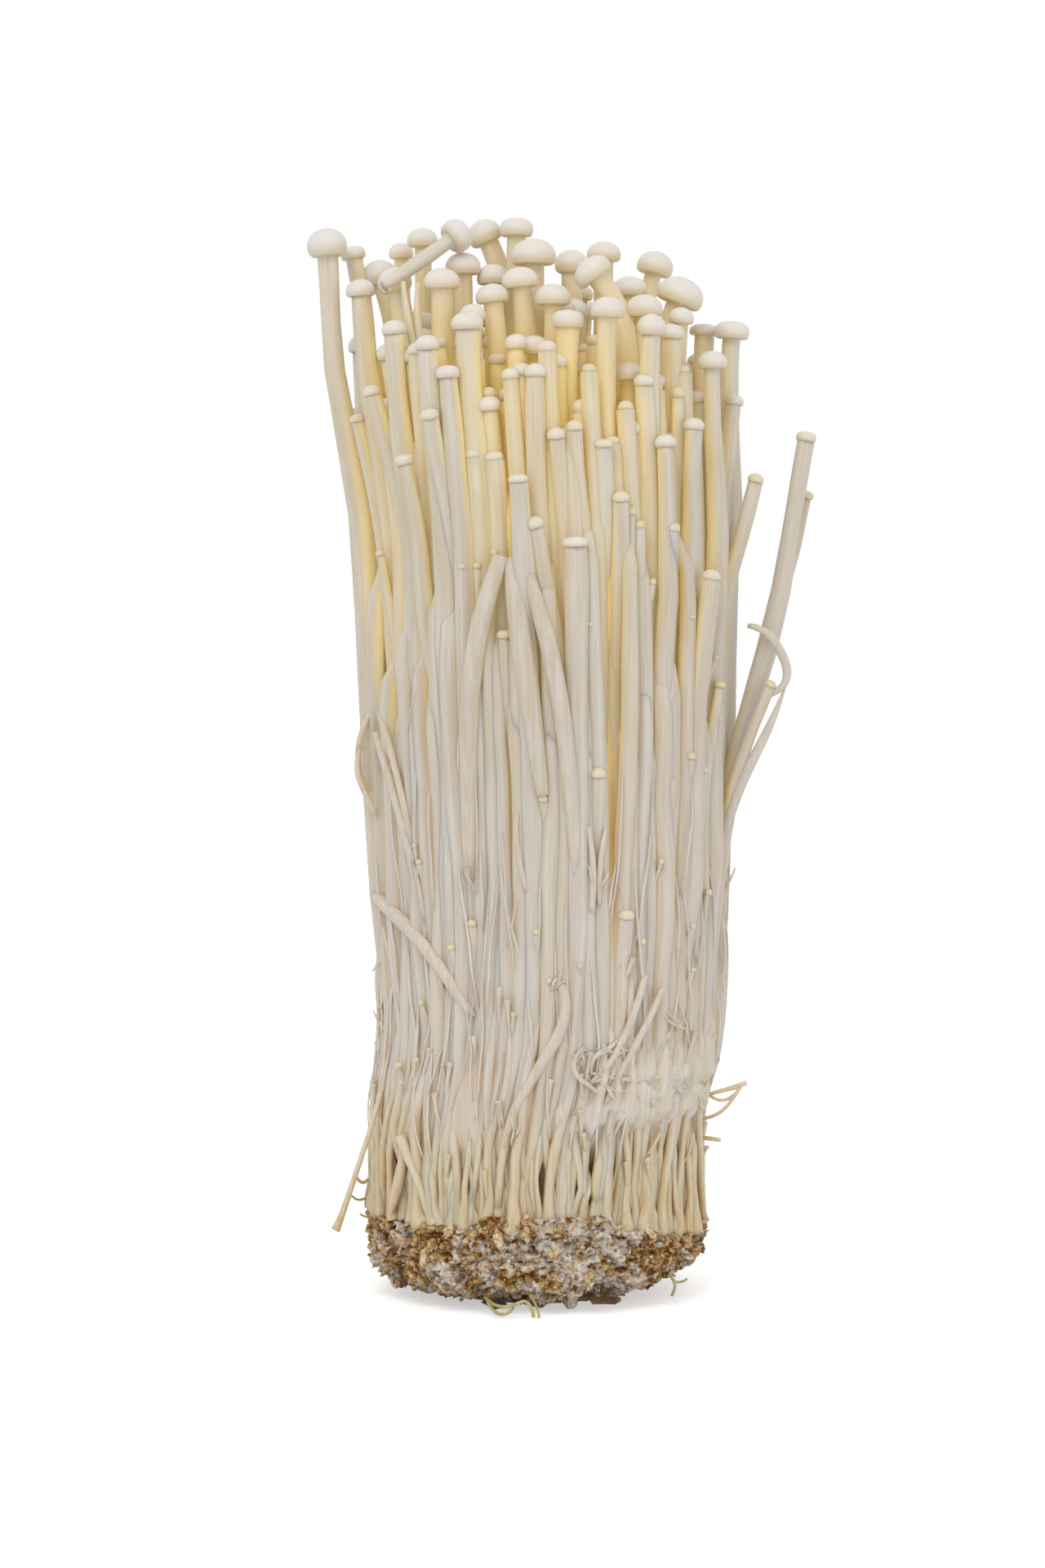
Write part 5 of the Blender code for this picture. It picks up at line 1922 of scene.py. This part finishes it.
    def flake_form(self, seed: int) -> Mesh:
        """Model one bran flake: a thin uneven dished plate.

        Args:
            seed: The seed of its edge.

        Returns:
            The flake's mesh, about 1 in radius.
        """
        deselect()
        bpy.ops.mesh.primitive_circle_add(vertices=9, radius=1.0, fill_type="NGON", location=(0, 0, 0))
        made = bpy.context.object
        bpy.ops.object.mode_set(mode="EDIT")
        bpy.ops.mesh.select_all(action="SELECT")
        bpy.ops.mesh.extrude_region_move(TRANSFORM_OT_translate={"value": (0, 0, 0.14)})
        bpy.ops.mesh.inset(thickness=0.4)
        bpy.ops.transform.translate(value=(0, 0, 0.12))
        settled(made, False)
        points = points_of(made.data)
        for row in points:
            spot = Vector((row[0], row[1], 3.0 * seed))
            row[:2] *= 1.0 + 0.5 * noise.noise(spot * 1.7)
            row[1] *= 0.7
            row[2] += 0.35 * row[0] ** 2 + 0.25 * noise.noise(spot * 1.4)
        place_points(made.data, points)
        return lifted(made)

    def scatter(self, name: str, forms: Sequence[Mesh], count: int, sizes: tuple[float, float],
                sink: float, seed: int) -> None:
        """Scatter copies over the block's side and rim.

        Args:
            name: The piece's name.
            forms: The meshes that are copied.
            count: How many copies.
            sizes: The least and the greatest radius, in millimetres.
            sink: How deep each sits, as a share of its radius.
            seed: The seed of the draw.
        """
        draw = random.Random(seed)
        made = []
        while len(made) < count:
            angle, along = draw.uniform(0, math.tau), draw.triangular(2.6, 12.6, 5.5)
            here, (_, _, cover) = self.surface(angle, along)
            ahead, _ = self.surface(angle, along + 0.35)
            beside, _ = self.surface(angle + 0.03, along)
            normal = (beside - here).cross(ahead - here).normalized()
            if normal.dot(Vector((math.cos(angle), math.sin(angle), 0.3 if along < 5 else -0.6))) < 0:
                normal = -normal
            size = draw.uniform(*sizes)
            place = here - normal * sink * size
            grown_over = cover > 0.62 and draw.random() < 0.7
            if grown_over or place.z - size < 0.15 or place.z + size > self.crumbs_top:
                continue
            mesh = draw.choice(forms).copy()
            tilt = Vector((draw.uniform(-0.5, 0.5), draw.uniform(-0.5, 0.5), draw.uniform(-0.5, 0.5)))
            turn = (normal + tilt).to_track_quat("Z", "Y").to_matrix()
            spin = Matrix.Rotation(draw.uniform(0, math.tau), 3, "Z")
            points = points_of(mesh) * size * np.array([1.0, draw.uniform(0.7, 1.1), draw.uniform(0.6, 1.0)])
            place_points(mesh, (points @ np.array(turn @ spin).T + np.array(place)) * MM)
            store(mesh, "crumb", np.tile((draw.random(), 0.0, 0.35 * cover, 1.0), (len(points), 1)))
            made.append(linked("crumb", mesh))
        hand_over(joined(made, name), Slot.SUBSTRATE, self.bran, "substrate_block")

    def husks(self, forms: Sequence[Mesh]) -> None:
        """Model the few large husks and flakes that show at the front.

        Args:
            forms: The flake meshes that are copied.
        """
        made = {True: [], False: []}
        for place, size, facing, dark in HUSKS:
            mesh = forms[len(made[dark]) % len(forms)].copy()
            turn = Vector(facing).to_track_quat("Z", "X").to_matrix()
            points = (points_of(mesh) * np.array(size)) @ np.array(turn).T + np.array(place)
            points[:, 2] = np.maximum(points[:, 2], self.husk_low)
            place_points(mesh, points * MM)
            store(mesh, "crumb", np.tile((0.9, 0.0, 0.1, 1.0), (len(points), 1)))
            made[dark].append(linked("husk", mesh))
        hand_over(joined(made[False], "large_flakes"), Slot.SUBSTRATE, self.bran, "substrate_block")
        brown = PlainFinish("seed_husk", linear(58, 36, 18), linear(112, 78, 42), 0.55).build()
        hand_over(joined(made[True], "dark_husks"), Slot.SUBSTRATE, brown, "substrate_block")

    def threads(self) -> None:
        """Model the greenish root threads that hang under the front."""
        green = PlainFinish("root_thread", linear(176, 164, 104), linear(206, 196, 140), 0.6).build()
        hand_over(strand_piece("root_threads", THREADS, 1), Slot.SUBSTRATE, green, "substrate_block")

    def build(self) -> None:
        """Model the block and what lies on it."""
        self.body()
        crumbs = [self.crumb_form(i) for i in range(5)]
        flakes = [self.flake_form(i) for i in range(5)]
        self.scatter("bran_crumbs", crumbs, 1100, (0.16, 0.55), 0.35, SEED + 40)
        self.scatter("bran_flakes", flakes, 300, (0.40, 1.05), 0.05, SEED + 41)
        self.husks(flakes)
        self.threads()


# ---- Studio ----


@dataclass
class Studio:
    """A plain pale floor, soft light and the camera."""

    across: float = -0.0022
    distance: float = 0.65
    eye: float = 0.112
    look: float = 0.0812
    lens: float = 93.3
    room_light: float = 0.76
    floor_glow: float = 0.50
    key_power: float = 3.0
    fill_power: float = 0.8

    def floor(self) -> None:
        """Lay the floor, a disc that glows a little like a light table."""
        deselect()
        bpy.ops.mesh.primitive_circle_add(vertices=96, radius=4.0, fill_type="NGON", location=(0, 0, 0))
        made = bpy.context.object
        made.name = "floor"
        paper = Shading("pale_floor")
        seen = paper.node("ShaderNodeLightPath").outputs["Is Camera Ray"]
        glow = paper.sums("MULTIPLY", seen, self.floor_glow)
        paper.feed(paper.shader.inputs["Emission Color"], (1.0, 1.0, 1.0))
        paper.feed(paper.shader.inputs["Emission Strength"], glow)
        made.data.materials.append(paper.surface((0.88, 0.88, 0.88), 0.9, 0.0))

    def lamp(self, name: str, place: Point, size: float, power: float, colour: Colour) -> None:
        """Hang a soft lamp that looks at the bunch.

        Args:
            name: The lamp's name.
            place: Where it hangs, in metres.
            size: Its width, in metres.
            power: Its power, in watts.
            colour: Its colour.
        """
        deselect()
        bpy.ops.object.light_add(type="AREA", location=place)
        made = bpy.context.object
        made.name = name
        made.data.shape = "DISK"
        made.data.size = size
        made.data.energy = power
        made.data.color = colour
        made.rotation_euler = (Vector((0, 0, 0.09)) - Vector(place)).to_track_quat("-Z", "Y").to_euler()

    def sky(self) -> None:
        """Surround the bunch with a white room whose light is softer than it looks."""
        world = bpy.data.worlds.new("studio")
        world.use_nodes = True
        tree = world.node_tree
        seen = tree.nodes["Background"]
        seen.inputs["Color"].default_value = (1.0, 1.0, 1.0, 1.0)
        light = tree.nodes.new("ShaderNodeBackground")
        light.inputs["Color"].default_value = (1.0, 1.0, 1.0, 1.0)
        light.inputs["Strength"].default_value = self.room_light
        path = tree.nodes.new("ShaderNodeLightPath")
        mix = tree.nodes.new("ShaderNodeMixShader")
        tree.links.new(path.outputs["Is Camera Ray"], mix.inputs["Fac"])
        tree.links.new(light.outputs[0], mix.inputs[1])
        tree.links.new(seen.outputs[0], mix.inputs[2])
        tree.links.new(mix.outputs[0], tree.nodes["World Output"].inputs["Surface"])
        bpy.context.scene.world = world

    def camera(self) -> None:
        """Set the camera in front of the bunch."""
        deselect()
        place = Vector((self.across, -self.distance, self.eye))
        turn = (Vector((self.across, 0.0, self.look)) - place).to_track_quat("-Z", "Y").to_euler()
        bpy.ops.object.camera_add(location=place, rotation=turn)
        made = bpy.context.object
        made.name = "camera"
        made.data.lens = self.lens
        made.data.sensor_width = 36.0
        bpy.context.scene.camera = made

    def build(self) -> None:
        """Set up the studio."""
        bpy.context.scene.view_settings.view_transform = "Standard"
        self.sky()
        self.floor()
        self.lamp("key_lamp", (-0.28, -0.75, 0.98), 0.6, self.key_power, (1.0, 0.985, 0.96))
        self.lamp("fill_lamp", (0.8, -0.8, 0.25), 0.7, self.fill_power, (1.0, 0.99, 0.98))
        self.camera()


def main() -> None:
    """Build every piece in order and report it."""
    logging.basicConfig(level=logging.INFO, format="%(name)s %(message)s")
    noise.seed_set(SEED)
    bundle = Bundle()
    flesh = FleshFinish().build()
    bran = BranFinish().build()
    Studio().build()
    Cluster(bundle, flesh).build()
    BrokenMushroom(flesh).build()
    white = FilmFinish("white_film", linear(236, 230, 223), linear(228, 216, 200), linear(224, 208, 184),
                       linear(228, 219, 206), linear(226, 208, 178), (0.0, 0.0, 0.0)).build()
    Undergrowth(bundle, flesh, FilmFinish().build(), white).build()
    Block(bundle, bran).build()


if __name__ == "__main__":
    main()
